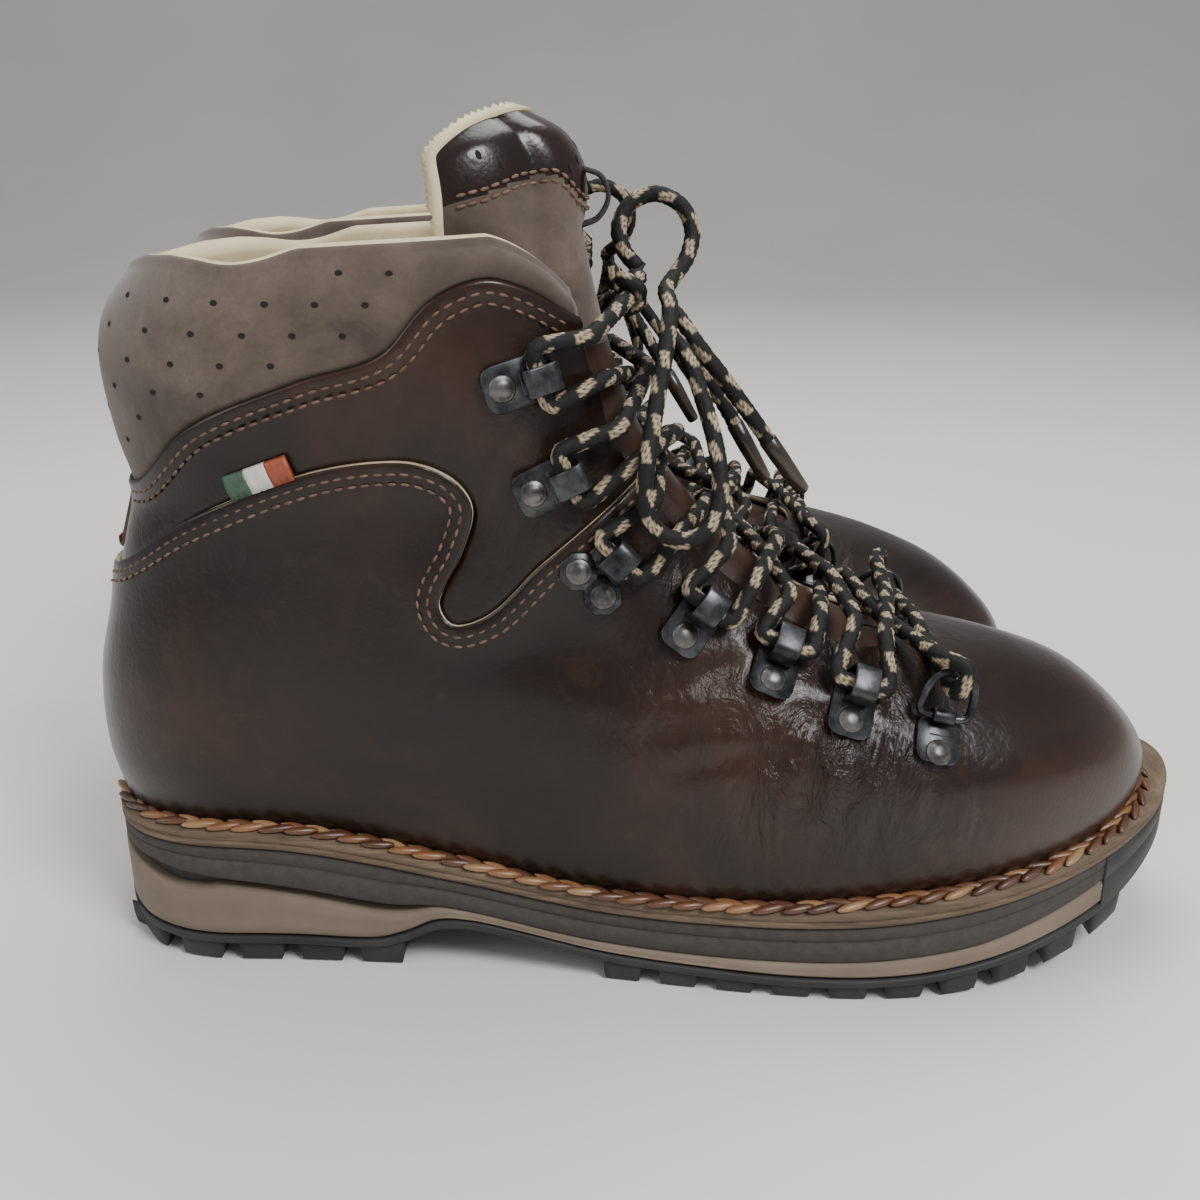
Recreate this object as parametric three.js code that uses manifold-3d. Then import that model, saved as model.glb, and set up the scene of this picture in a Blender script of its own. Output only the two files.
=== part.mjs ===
// A pair of Norwegian-welted leather mountaineering boots, laced and tied in a bow.
//
// One boot is built by bootParts() in its own frame: x runs from the heel to the toe, y is
// across with the outer (lateral) side at minus y, and z is up from the floor. The left boot
// is the mirror image. All sizes are in millimetres.
import * as THREE from "three";
import { mergeVertices } from "three/addons/utils/BufferGeometryUtils.js";
import Module from "manifold-3d";

const wasm = await Module();
wasm.setup();
const { Manifold, Mesh } = wasm;

// ---------------------------------------------------------------- driving sizes

const SOLE_LENGTH = 320; // heel to toe tip of the outsole
const SHAFT_HEIGHT = 197; // floor to the collar rim at the back of the heel
const HEEL_WIDTH = 74; // outsole, across the heel
const BALL_WIDTH = 99; // outsole, across the ball of the foot
const PAIR_PITCH = 108; // centre line to centre line
const PAIR_STAGGER = -15; // how far the left boot stands behind the right one

const WELT_THICKNESS = 5;
const WELT_LEDGE = 5.5; // how far the sole stands out past the foot of the upper
const MIDSOLE_INSET = 0.8; // faces of the layers, in from the outsole's edge
const WEDGE_INSET = 0.4;
const LUG_INSET = 1;
const RUBBER_SHEET = 2.5; // outsole sheet above its lugs
const LUG_LENGTH = 10.5;
const LUG_GAP = 5;
const LUG_ROW_GAP = 5;
const CENTRE_LUG_WIDTH = 30;
const GROOVE_DEPTH = 4; // recess between the midsole and the heel wedge
const TOE_RAND = 30; // length of the rubber bumper at the toe

const LEATHER = 2.6;
const LINING = 1.5;
const COLLAR_PADDING = 8;
const COLLAR_BULGE = 2;
const COLLAR_EDGE = 1.5; // how much its rim narrows on each face
const BOARD = 3; // insole board
const FOOTBED = 4.5;
const FOOTBED_EASE = 2; // footbed edge to the lining, so that it lifts out
const TONGUE_THICKNESS = 5;
const TONGUE_PADDING = 4; // extra thickness in the padded top
const TONGUE_TOP = 234; // floor to the tongue's crest, at the pattern size
const THROAT_HALF_WIDTH = 22;
const GAP = 0.3; // clearance between pieces that touch

const LACE_DIAMETER = 4.6;
const KNOT_RADIUS = 7;
const KNOT_LEVEL = 0.93; // level of the skin that the knot lies on
const PLATE_THICKNESS = 1.2;
const HARDWARE_LIFT = 0.85; // plates above the skin, whose facets lie a little below it
const RIVET_RADIUS = 3.4;
const RIVET_HEIGHT = 1.5;
const PLATE_WIDTH = 12;
const TWIN_PLATE_WIDTH = 18;
const PLATE_CUT = 2.5; // cut corners at the back of a plate
const LIP = 0.8; // how far an open hook's end turns down
const HOOK_WIDTH = 7; // hook head, measured along the throat
const HOOK_METAL = 1.6;
const RING_WIRE = 2.2;
const RING_REACH = 12; // pivot bar to the far arc of the toe ring
const RING_WIDTH = 14;
const RING_TILT = THREE.MathUtils.degToRad(40);
const RING_PLAY = 2.6; // from the ring's wire to the lace that turns round it

// Mesh steps: finer values only make the facets smaller.
const ROUND_STEPS = 14; // from the heel line to the ridge, one side
const LEVELS = [0, 0.07, 0.17, 0.3, 0.43, 0.56, 0.69, 0.82, 0.94, 1]; // from the welt to the rim
const CORD_SIDES = 8;

// ---------------------------------------------------------------- pattern and grading

// Profiles are drawn at the pattern size and graded to the driving sizes.
const PATTERN_LENGTH = 320;
const PATTERN_HEIGHT = 197;
const WELT_HEIGHT = 43; // top of the welt at the heel, below which nothing is graded in height
const gx = (x) => (x * SOLE_LENGTH) / PATTERN_LENGTH;
const UPPER_GRADE = (SHAFT_HEIGHT - WELT_HEIGHT) / (PATTERN_HEIGHT - WELT_HEIGHT);
const gz = (z) => (z <= WELT_HEIGHT ? z : WELT_HEIGHT + (z - WELT_HEIGHT) * UPPER_GRADE);
const graded = (points) => points.map(([x, z]) => [gx(x), gz(z)]);
const gradedX = (points) => points.map(([x, value]) => [gx(x), value]);

// A smooth function through [t, value] points, with mean slopes and held ends.
function smooth(points) {
  const slope = points.map((point, i) => {
    const before = points[Math.max(i - 1, 0)];
    const after = points[Math.min(i + 1, points.length - 1)];
    return (after[1] - before[1]) / (after[0] - before[0]);
  });
  return (t) => {
    if (t <= points[0][0]) return points[0][1];
    const last = points.length - 1;
    if (t >= points[last][0]) return points[last][1];
    const i = points.findIndex((point) => point[0] > t) - 1;
    const [t0, a] = points[i];
    const [t1, b] = points[i + 1];
    const h = t1 - t0;
    const q = (t - t0) / h;
    const q2 = q * q;
    const q3 = q2 * q;
    return (2 * q3 - 3 * q2 + 1) * a + (q3 - 2 * q2 + q) * h * slope[i]
      + (3 * q2 - 2 * q3) * b + (q3 - q2) * h * slope[i + 1];
  };
}

// A smooth route through [x, z] points, by the fraction of its chord length.
function route(points) {
  const at = [0];
  for (let i = 1; i < points.length; i += 1) {
    at.push(at[i - 1] + Math.hypot(points[i][0] - points[i - 1][0], points[i][1] - points[i - 1][1]));
  }
  const total = at[at.length - 1];
  const x = smooth(points.map((point, i) => [at[i] / total, point[0]]));
  const z = smooth(points.map((point, i) => [at[i] / total, point[1]]));
  return (t) => [x(t), z(t)];
}

const ease = (t) => {
  const q = Math.min(Math.max(t, 0), 1);
  return q * q * (3 - 2 * q);
};

// Where the centre line of the foot runs: out at the ball, in at the toe.
const bend = smooth(gradedX([
  [0, 0], [60, 0.5], [130, -2.5], [200, -5], [250, -2], [290, 4], [320, 9],
]));

// ---------------------------------------------------------------- sole profiles

const weltTop = smooth(gradedX([
  [0, 43], [30, 43.5], [62, 41.5], [103, 34.5], [145, 27.8], [189, 27.5], [227, 30], [259, 33.6],
  [290, 38.5], [320, 46],
]));
const weltBottom = (x) => weltTop(x) - WELT_THICKNESS;
const midsoleBottom = smooth(gradedX([
  [0, 32], [20, 30], [59, 24.5], [84, 20.5], [100, 20.5], [145, 12.8], [200, 12], [247, 15.5],
  [268, 20], [290, 26], [320, 36],
]));
const wedgeTop = smooth(gradedX([
  [0, 31.4], [7, 29], [20, 24], [31, 23.6], [36, 24.6], [59, 21.6], [80, 17.6], [90, 17.8],
  [100, 20.2], [145, 12.5], [200, 11.7], [247, 15.2], [268, 19.7], [290, 25.7],
]));
const rubberTop = smooth(gradedX([
  [0, 15], [5, 11.5], [14, 9.5], [58, 9], [80, 8.8], [89, 11.5], [98, 15.8], [108, 16.4],
  [121, 14.2], [145, 9.6], [170, 7.8], [200, 7], [230, 7.8], [247, 9.6], [268, 13], [290, 18.5],
  [305, 25], [320, 34],
]));
const lugBottom = smooth(gradedX([
  [0, 9], [5, 4], [13, 0], [14, 0], [239, 0], [240, 0], [256, 1.2], [272, 3.4], [288, 7],
  [300, 12], [312, 20], [320, 27],
]));
const HEEL_LUGS = [gx(4), gx(88)];
const FOREFOOT_LUGS = [gx(146), gx(314)];

// Half of the outsole's width at x, before the bend.
const HEEL_ROUND = gx(40);
const TOE_ROUND = gx(84);
const soleSide = smooth([
  [0, HEEL_WIDTH / 2 - 1], [gx(64), HEEL_WIDTH / 2], [gx(125), HEEL_WIDTH / 2 + 2.5], [gx(215), BALL_WIDTH / 2],
  [gx(245), BALL_WIDTH / 2], [gx(320), BALL_WIDTH / 2 - 6],
]);

// 0 at an end and 1 from the reach on, like the end of a superellipse.
function roundEnd(distance, reach, power) {
  const q = Math.min(Math.max(distance / reach, 0), 1);
  return (1 - (1 - q) ** power) ** (1 / power);
}

const HEEL_POWER = 2.2;
const TOE_POWER = 2.25;
function soleHalf(x) {
  const heel = roundEnd(x, HEEL_ROUND, HEEL_POWER);
  return soleSide(x) * heel * roundEnd(SOLE_LENGTH - x, TOE_ROUND, TOE_POWER);
}

// ---------------------------------------------------------------- upper surface

// The outer face of the upper is a stack of slices. Slice v = 0 stands on the welt and v = 1 is
// the rim. Each runs from a point on the back line to one on the front line, and its half
// width is set by the levels below.
const backLine = route(graded([
  [2, 43], [-1, 61], [0, 84], [5, 103], [12, 124], [16, 139], [14.8, 153], [14.1, 175], [17, 186], [24, 197],
]));
const frontLine = route(graded([
  [308.5, 44], [310.5, 52], [304, 64.5], [289, 77.5], [269, 86], [252, 90.5], [229, 94.5],
  [208, 103.5], [188, 117.5], [170, 135.5], [158, 152], [150, 172], [145, 190], [142, 204],
]));
const heelSpan = HEEL_WIDTH / 2;
const ballSpan = BALL_WIDTH / 2;
const heelHalf = smooth([
  [0, heelSpan - WELT_LEDGE], [0.12, heelSpan - 0.5], [0.25, heelSpan + 1], [0.4, heelSpan + 1],
  [0.55, heelSpan], [0.7, heelSpan], [0.85, heelSpan + 2.5], [1, heelSpan + 2],
]);
const ballHalf = smooth([
  [0, ballSpan - WELT_LEDGE], [0.12, ballSpan], [0.25, ballSpan - 5], [0.4, ballSpan - 10.5],
  [0.55, ballSpan - 12.5], [0.7, ballSpan - 13], [0.85, ballSpan - 10.5], [1, ballSpan - 10.5],
]);
const frontRound = smooth([
  [0, 78], [0.12, 84], [0.25, 108], [0.4, 78], [0.55, 60], [0.7, 50], [0.85, 44], [1, 42],
]);
const backRound = smooth([[0, 38], [0.25, 42], [1, 44]]);
const frontPower = smooth([[0, 2.25], [0.2, 2.2], [0.35, 2]]);
const FOOT_GAP = 0.45; // the foot of the upper above the welt, whose facets are its own
const FADE = 0.3; // the slices are flat from this level on, and follow the welt below it

function slice(v) {
  const [xb, zb] = backLine(v);
  const [xf, zf] = frontLine(v);
  return { xb, zb, xf, zf, span: xf - xb };
}

function heightAt(v, x) {
  const { xb, zb, zf, span } = slice(v);
  const low = slice(0);
  const flat = zb + ((zf - zb) * (x - xb)) / span;
  const lowFlat = low.zb + ((low.zf - low.zb) * (x - low.xb)) / low.span;
  const fade = Math.max(1 - v / FADE, 0) ** 2;
  return flat + fade * (weltTop(x) + FOOT_GAP - lowFlat);
}

function halfAt(v, x) {
  const { xb, xf, span } = slice(v);
  const along = ease(((x - xb) / span - 0.2) / 0.5);
  const side = heelHalf(v) + (ballHalf(v) - heelHalf(v)) * along;
  const front = Math.min(gx(frontRound(v)), span * 0.55);
  const back = Math.min(gx(backRound(v)), span * 0.45);
  return side * roundEnd(x - xb, back, 2) * roundEnd(xf - x, front, frontPower(v));
}

// The point at level v and step s from the back (0) to the ridge (1); side is -1 or 1.
function skin(v, s, side) {
  const { xb, span } = slice(v);
  const x = xb + (span * (1 - Math.cos(Math.PI * s))) / 2;
  return new THREE.Vector3(x, bend(x) + side * halfAt(v, x), heightAt(v, x));
}

function skinNormal(v, s, side) {
  const dv = 0.004;
  const ds = 0.004;
  const up = skin(Math.min(v + dv, 1), s, side).sub(skin(Math.max(v - dv, 0), s, side));
  const near = s < ds ? skin(v, ds, -side) : skin(v, s - ds, side);
  const far = s > 1 - ds ? skin(v, 1 - ds, -side) : skin(v, s + ds, side);
  const along = far.sub(near);
  return along.cross(up).multiplyScalar(-side).normalize();
}

// The skin moved out by h, or in where h is negative.
function onSkin(v, s, side, h) {
  return skin(v, s, side).addScaledVector(skinNormal(v, s, side), h);
}

// The level and step of a place given in side view.
function findSide(x, z) {
  let low = 0;
  let high = 1;
  for (let i = 0; i < 30; i += 1) {
    const v = (low + high) / 2;
    if (heightAt(v, x) < z) low = v;
    else high = v;
  }
  const { xb, span } = slice(low);
  return [low, Math.acos(1 - (2 * (x - xb)) / span) / Math.PI];
}

// The step, near the ridge, where the skin at level v is a given distance off the centre line.
function findAcross(v, distance) {
  let low = 0.5;
  let high = 1;
  const { xb, span } = slice(v);
  for (let i = 0; i < 30; i += 1) {
    const s = (low + high) / 2;
    const x = xb + (span * (1 - Math.cos(Math.PI * s))) / 2;
    if (halfAt(v, x) > distance) low = s;
    else high = s;
  }
  return high;
}

// ---------------------------------------------------------------- solids

// A closed geometry as a solid that can be joined and cut.
function toSolid(geometry) {
  const bare = geometry.index ? geometry.toNonIndexed() : geometry.clone();
  bare.deleteAttribute("normal");
  bare.deleteAttribute("uv");
  const merged = mergeVertices(bare, 1e-4);
  return new Manifold(new Mesh({
    numProp: 3,
    vertProperties: new Float32Array(merged.attributes.position.array),
    triVerts: new Uint32Array(merged.index.array),
  }));
}

function toGeometry(solid) {
  const mesh = solid.getMesh();
  const geometry = new THREE.BufferGeometry();
  geometry.setAttribute("position", new THREE.BufferAttribute(mesh.vertProperties, mesh.numProp));
  geometry.setIndex(new THREE.BufferAttribute(mesh.triVerts, 1));
  const flat = geometry.toNonIndexed();
  flat.computeVertexNormals();
  return flat;
}

const joined = (geometries) => geometries.map(toSolid).reduce((sum, each) => sum.add(each));

// Six times the volume inside the triangles: negative when they face in.
function signedVolume(points, faces) {
  let sum = 0;
  for (let i = 0; i < faces.length; i += 3) {
    sum += points[faces[i]].dot(points[faces[i + 1]].clone().cross(points[faces[i + 2]]));
  }
  return sum;
}

// A closed geometry from loops of points. A ring of loops joins its last to its first; a
// stack is closed by a fan over its first and last loops. From point turnAt of a loop on, the
// quads are cut along their other diagonal.
function loft(loops, isRing, turnAt = Infinity) {
  const count = loops[0].length;
  const points = loops.flat();
  const faces = [];
  const rows = isRing ? loops.length : loops.length - 1;
  for (let i = 0; i < rows; i += 1) {
    const here = i * count;
    const next = ((i + 1) % loops.length) * count;
    for (let j = 0; j < count; j += 1) {
      const k = (j + 1) % count;
      if (j < turnAt) faces.push(here + j, next + j, next + k, here + j, next + k, here + k);
      else faces.push(here + j, next + j, here + k, here + k, next + j, next + k);
    }
  }
  const close = (loop, base, isFirst) => {
    const centre = points.length;
    points.push(loop.reduce((sum, point) => sum.add(point), new THREE.Vector3()).divideScalar(count));
    for (let j = 0; j < count; j += 1) {
      const k = (j + 1) % count;
      faces.push(centre, base + (isFirst ? j : k), base + (isFirst ? k : j));
    }
  };
  if (!isRing) {
    close(loops[0], 0, true);
    close(loops[loops.length - 1], (loops.length - 1) * count, false);
  }
  if (signedVolume(points, faces) < 0) faces.reverse();
  const geometry = new THREE.BufferGeometry().setFromPoints(points);
  geometry.setIndex(faces);
  return geometry;
}

// An outline of [x, y] points as a shape, without the points that lie in line with others.
const IN_LINE = 1e-7;
function shapeOf(points) {
  const corners = points.filter(([x, y], i) => {
    const [x0, y0] = points[(i + points.length - 1) % points.length];
    const [x1, y1] = points[(i + 1) % points.length];
    return Math.abs((x - x0) * (y1 - y0) - (y - y0) * (x1 - x0)) > IN_LINE;
  });
  return new THREE.Shape(corners.map(([x, y]) => new THREE.Vector2(x, y)));
}

const prism = (shape, depth) => new THREE.ExtrudeGeometry(shape, { depth, bevelEnabled: false });

// A side-view outline, [x, z] points, as a slab right across the boot.
const ACROSS = 200;
function sideSlab(points) {
  return prism(shapeOf(points), ACROSS).rotateX(Math.PI / 2).translate(0, ACROSS / 2, 0);
}

// A line of [x, y] points moved sideways, to the left of its own direction.
function moved(points, distance, isLoop = false) {
  const last = points.length - 1;
  return points.map(([x, y], i) => {
    const before = points[i > 0 ? i - 1 : (isLoop ? last : 0)];
    const after = points[i < last ? i + 1 : (isLoop ? 0 : last)];
    const into = new THREE.Vector2(x - before[0], y - before[1]).normalize();
    const out = new THREE.Vector2(after[0] - x, after[1] - y).normalize();
    const along = into.clone().add(out).normalize();
    const across = new THREE.Vector2(-along.y, along.x);
    const half = into.lengthSq() && out.lengthSq() ? Math.abs(along.dot(into)) : 1;
    return [x + (across.x * distance) / half, y + (across.y * distance) / half];
  });
}

// A plan outline from the half width at each x, anticlockwise, moved in by an inset.
const PLAN_STEPS = 14; // per side, from heel to toe
function plan(from, to, halfWidth, inset) {
  const near = [];
  for (let i = 0; i <= PLAN_STEPS; i += 1) {
    const x = from + ((to - from) * (1 - Math.cos((Math.PI * i) / PLAN_STEPS))) / 2;
    near.push([x, -halfWidth(x)]);
  }
  const far = near.slice(1, -1).reverse().map(([x, y]) => [x, -y]);
  return moved([...near, ...far], inset, true);
}

const solePlan = (inset) => plan(0, SOLE_LENGTH, soleHalf, inset);

// The foot of the upper in plan, before the bend.
function footPlan(inset) {
  const { xb, xf } = slice(0);
  return plan(xb, xf, (x) => halfAt(0, x), inset);
}

// Points along a line in side view. All layers share their stations, so that they stay apart.
const PROFILE_STEP = 16;
function profile(from, to, line) {
  const stations = [from];
  const first = Math.ceil(from / PROFILE_STEP + 0.2) * PROFILE_STEP;
  for (let x = first; x < to - 2; x += PROFILE_STEP) stations.push(x);
  stations.push(to);
  return stations.map((x) => [x, line(x)]);
}

// A sole layer: a plan outline, between a lower and an upper line in side view.
const OVER = 5;
function layer(outline, from, to, lower, upper) {
  const side = sideSlab([...profile(from, to, lower), ...profile(from, to, upper).reverse()]);
  return toSolid(prism(shapeOf(outline), SHAFT_HEIGHT)).intersect(toSolid(side));
}

// A geometry moved across, so that its centre line follows the foot.
function bent(geometry) {
  const place = geometry.attributes.position;
  for (let i = 0; i < place.count; i += 1) place.setY(i, place.getY(i) + bend(place.getX(i)));
  return geometry;
}

// ---------------------------------------------------------------- sole

const TOE_FACE = SOLE_LENGTH - TOE_RAND;

function welt() {
  return layer(solePlan(0), -OVER, SOLE_LENGTH + OVER, weltBottom, weltTop);
}

function midsole() {
  const top = (x) => weltBottom(x) - GAP;
  const end = TOE_FACE - GAP;
  const face = layer(solePlan(MIDSOLE_INSET), -OVER, end, midsoleBottom, top);
  const core = solePlan(MIDSOLE_INSET + GROOVE_DEPTH);
  return face.add(layer(core, -OVER, end, (x) => wedgeTop(x) + GAP, top));
}

function wedge() {
  return layer(solePlan(WEDGE_INSET), -OVER, TOE_FACE - GAP, rubberTop, wedgeTop);
}

// Three rows of lugs over one stretch of the sole, as bars that the sole's outline cuts.
function lugBars([from, to]) {
  const pitch = LUG_LENGTH + LUG_GAP;
  const count = Math.max(Math.floor((to - from + LUG_GAP) / pitch), 1);
  const step = (to - from + LUG_GAP) / count;
  const length = step - LUG_GAP;
  const side = CENTRE_LUG_WIDTH / 2 + LUG_ROW_GAP;
  const bar = (x, y, long, wide) => {
    const box = new THREE.BoxGeometry(long, wide, SHAFT_HEIGHT);
    return box.translate(x + long / 2, y, SHAFT_HEIGHT / 2 - OVER);
  };
  const bars = [];
  for (let i = 0; i < count; i += 1) {
    const x = from + i * step;
    bars.push(bar(x, side + BALL_WIDTH / 2, length, BALL_WIDTH));
    bars.push(bar(x, -side - BALL_WIDTH / 2, length, BALL_WIDTH));
    if (i % 2 === 0 && i < count - 1) bars.push(bar(x + step / 4, 0, 2 * length, CENTRE_LUG_WIDTH));
  }
  return joined(bars);
}

const SHEET_REST = 0.5; // least height of the rubber sheet above the lugs' faces
function outsole() {
  const sheetTop = (x) => rubberTop(x) - GAP;
  const sheetBottom = (x) => Math.max(sheetTop(x) - RUBBER_SHEET, lugBottom(x) + SHEET_REST);
  const outline = solePlan(0);
  const sheet = layer(outline, -OVER, SOLE_LENGTH + OVER, sheetBottom, sheetTop);
  const rand = layer(outline, TOE_FACE, SOLE_LENGTH + OVER, sheetBottom, (x) => weltBottom(x) - GAP);
  const lugs = [HEEL_LUGS, FOREFOOT_LUGS].map((stretch) => {
    const inSheet = (x) => sheetTop(x) - RUBBER_SHEET / 2;
    return layer(solePlan(LUG_INSET), ...stretch, lugBottom, inSheet).intersect(lugBars(stretch));
  });
  return sheet.add(rand).add(lugs[0]).add(lugs[1]);
}

const BOARD_INSET = LEATHER + LINING + 4 * GAP;
function insoleBoard() {
  const lower = (x) => weltTop(x) + GAP;
  return layer(footPlan(BOARD_INSET), -OVER, SOLE_LENGTH, lower, (x) => lower(x) + BOARD);
}

function footbed() {
  const lower = (x) => weltTop(x) + BOARD + 2 * GAP;
  const outline = footPlan(BOARD_INSET + FOOTBED_EASE);
  return layer(outline, -OVER, SOLE_LENGTH, lower, (x) => lower(x) + FOOTBED);
}

// ---------------------------------------------------------------- upper

// A shell all the way round, between two depths below the skin, from a level up to the rim.
// Every shell has the same levels and steps, so that their facets lie side by side.
function shell(from, outer, inner) {
  const levels = LEVELS.filter((v) => v >= from);
  const sections = [];
  for (let i = 0; i < 2 * ROUND_STEPS; i += 1) {
    const side = i <= ROUND_STEPS ? -1 : 1;
    const s = i <= ROUND_STEPS ? i / ROUND_STEPS : 2 - i / ROUND_STEPS;
    const outside = levels.map((v) => onSkin(v, s, side, -outer(v)));
    const inside = levels.map((v) => onSkin(v, s, side, -inner(v)));
    sections.push([...outside, ...inside.reverse()]);
  }
  return toSolid(loft(sections, true, levels.length));
}

// Seams in side view. The lower edge of the ankle quarter is the upper edge of the vamp.
const vampSeam = graded([
  [-20, 112], [13, 116.5], [40, 134.5], [70, 147], [95, 150.8], [107.5, 147], [113, 139],
  [109.7, 126.5], [103.5, 113.5], [107, 107.5], [117, 111], [130, 124], [150, 140], [200, 172],
  [370, 172],
]);
const collarSeam = graded([
  [-20, 136], [16, 139], [25.5, 142.6], [43.4, 159], [71.6, 170.6], [91.9, 177], [104.6, 189.9],
  [116.5, 194.8], [126, 192.5], [135.2, 186.6], [170, 160],
]);
const FAR = 500; // past the end of everything
function below(seam) {
  const [first, last] = [seam[0][0], seam[seam.length - 1][0]];
  return toSolid(sideSlab([[first, -FAR], [last, -FAR], ...seam.toReversed()]));
}

// The throat: a plan-view slot with a round toe end, from the shaft's front to the vamp.
const THROAT_END = gx(231);
const THROAT_BACK = gx(112);
const THROAT_FLOOR = gz(70);
const THROAT_TURNS = 8;
function throatCut() {
  const centre = THROAT_END - THROAT_HALF_WIDTH;
  const outline = [[THROAT_BACK, -THROAT_HALF_WIDTH], [centre, -THROAT_HALF_WIDTH]];
  for (let i = 1; i < THROAT_TURNS; i += 1) {
    const angle = -Math.PI / 2 + (Math.PI * i) / THROAT_TURNS;
    const [forward, across] = [Math.cos(angle), Math.sin(angle)];
    outline.push([centre + THROAT_HALF_WIDTH * forward, THROAT_HALF_WIDTH * across]);
  }
  outline.push([centre, THROAT_HALF_WIDTH], [THROAT_BACK, THROAT_HALF_WIDTH]);
  return toSolid(bent(prism(shapeOf(outline), FAR).translate(0, 0, THROAT_FLOOR)));
}

const leather = () => shell(0, () => 0, () => LEATHER).subtract(throatCut());

function vamp() {
  return leather().intersect(below(vampSeam));
}

function quarter() {
  return leather().intersect(below(collarSeam)).subtract(below(moved(vampSeam, GAP)));
}

const LINING_DEPTH = LEATHER + GAP;
const COLLAR_DEPTH = COLLAR_PADDING - COLLAR_BULGE;
const COLLAR_FOOT = LEVELS[5];
function liningDepth(v) {
  return LINING_DEPTH + (COLLAR_DEPTH + GAP - LINING_DEPTH) * ease((v - 0.4) / 0.2);
}

function collar() {
  const puff = (v) => COLLAR_BULGE * Math.sin((Math.PI * (v - COLLAR_FOOT)) / (1 - COLLAR_FOOT));
  const outer = (v) => (v < 1 ? -puff(v) : COLLAR_EDGE);
  const inner = (v) => COLLAR_DEPTH - (v < 1 ? 0 : COLLAR_EDGE);
  const whole = shell(COLLAR_FOOT, outer, inner).subtract(throatCut());
  return whole.subtract(below(moved(collarSeam, GAP))).subtract(below(moved(vampSeam, GAP)));
}

function lining() {
  return shell(0, liningDepth, (v) => liningDepth(v) + LINING).subtract(throatCut());
}

// The tongue fills the throat from below, wraps round the shin and stands up above the rim.
const TONGUE_FOOT = 0.4; // level of its lower end, under the vamp
const TONGUE_ACROSS = 8;
const TONGUE_RISE = 8;
const TONGUE_CROWN = 3;
const TONGUE_SLOPE = 0.42; // how fast its top falls from the front to the wings
const TONGUE_SINK = 1.6; // its ridge below the skin that the throat leaves open
const TONGUE_CLOSING = 0.06; // how much its crest is narrower than the rim
const CREST = gz(TONGUE_TOP);
const lean = smooth([[204, 0], [216, -0.5], [226, -4], [234, -12]].map(([z, x]) => [gz(z), gx(x)]));
const wing = smooth([[0.4, 0.6], [0.55, 0.72], [0.7, 0.85], [0.85, 0.93], [1, 0.95]]);

function tongueLoop(v) {
  const { xb, span } = slice(v);
  const widest = halfAt(v, xb + span * 0.5);
  const rim = liningDepth(v) + LINING + 2 * GAP;
  const thick = TONGUE_THICKNESS + TONGUE_PADDING * ease((v - 0.75) / 0.2);
  const outside = [];
  const inside = [];
  for (let i = 0; i <= TONGUE_ACROSS; i += 1) {
    const t = (2 * i) / TONGUE_ACROSS - 1;
    const across = Math.sin((Math.abs(t) * Math.PI) / 2) * widest * wing(v);
    const side = t < 0 ? -1 : 1;
    const s = findAcross(v, across);
    const fall = Math.min(across / (THROAT_HALF_WIDTH - 1), 1) ** 3;
    const lift = v < TONGUE_FOOT + 0.06 ? 0 : (rim - TONGUE_SINK) * (1 - fall);
    outside.push(onSkin(v, s, side, lift - rim));
    inside.push(onSkin(v, s, side, lift / 2 - rim - thick));
  }
  return [...outside, ...inside.reverse()];
}

function tongue() {
  const loops = [];
  for (let i = 0; i <= TONGUE_RISE; i += 1) {
    loops.push(tongueLoop(TONGUE_FOOT + ((1 - TONGUE_FOOT) * i) / TONGUE_RISE));
  }
  const rimLoop = loops[TONGUE_RISE];
  const front = rimLoop.reduce((most, point) => Math.max(most, point.x), 0);
  for (let i = 1; i <= TONGUE_CROWN; i += 1) {
    const t = i / TONGUE_CROWN;
    const close = 1 - TONGUE_CLOSING * t * t;
    loops.push(rimLoop.map((point) => {
      const crest = CREST - TONGUE_SLOPE * (front - point.x);
      const z = point.z + (crest - point.z) * t;
      const middle = bend(point.x);
      return new THREE.Vector3(point.x + lean(z), middle + (point.y - middle) * close, z);
    }));
  }
  return toSolid(loft(loops, false));
}

// ---------------------------------------------------------------- hardware

// The level of the ridge point nearest to a place in side view.
function ridgeLevel(place) {
  const away = (v) => {
    const [x, z] = frontLine(v);
    return Math.hypot(x - place[0], z - place[1]);
  };
  let best = 0.3;
  for (let v = 0.3; v <= 1; v += 0.005) {
    if (away(v) < away(best)) best = v;
  }
  return best;
}

// A frame on the skin: x towards the ridge, y up along the throat, z out of the leather. It
// is level with the skin under the middle of a plate, a little behind its origin, and is
// lifted until a plate of the usual size clears the skin everywhere.
const PLATE_MIDDLE = 4;
const PLATE_REACH = [-8, 0, 8];
function frameAt(place, side) {
  const level = ridgeLevel(place);
  const ridge = frontLine(level);
  const away = new THREE.Vector2(ridge[0] - place[0], ridge[1] - place[1]).normalize();
  const [v, s] = findSide(place[0] - away.x * PLATE_MIDDLE, place[1] - away.y * PLATE_MIDDLE);
  const out = skinNormal(v, s, side);
  const middle = skin(v, s, side);
  const towards = skin(level, 1, side).sub(middle);
  const inward = towards.addScaledVector(out, -towards.dot(out)).normalize();
  const up = out.clone().cross(inward).multiplyScalar(-side);
  const bumps = PLATE_REACH.flatMap((across) => PLATE_REACH.map((along) => {
    const spot = middle.clone().addScaledVector(inward, across).addScaledVector(up, along * 0.75);
    return skin(...findSide(spot.x, spot.z), side).sub(middle).dot(out);
  }));
  const lift = Math.max(...bumps) + HARDWARE_LIFT;
  const origin = middle.addScaledVector(out, lift).addScaledVector(inward, PLATE_MIDDLE);
  return new THREE.Matrix4().makeBasis(inward, up, out).setPosition(origin);
}

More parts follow.
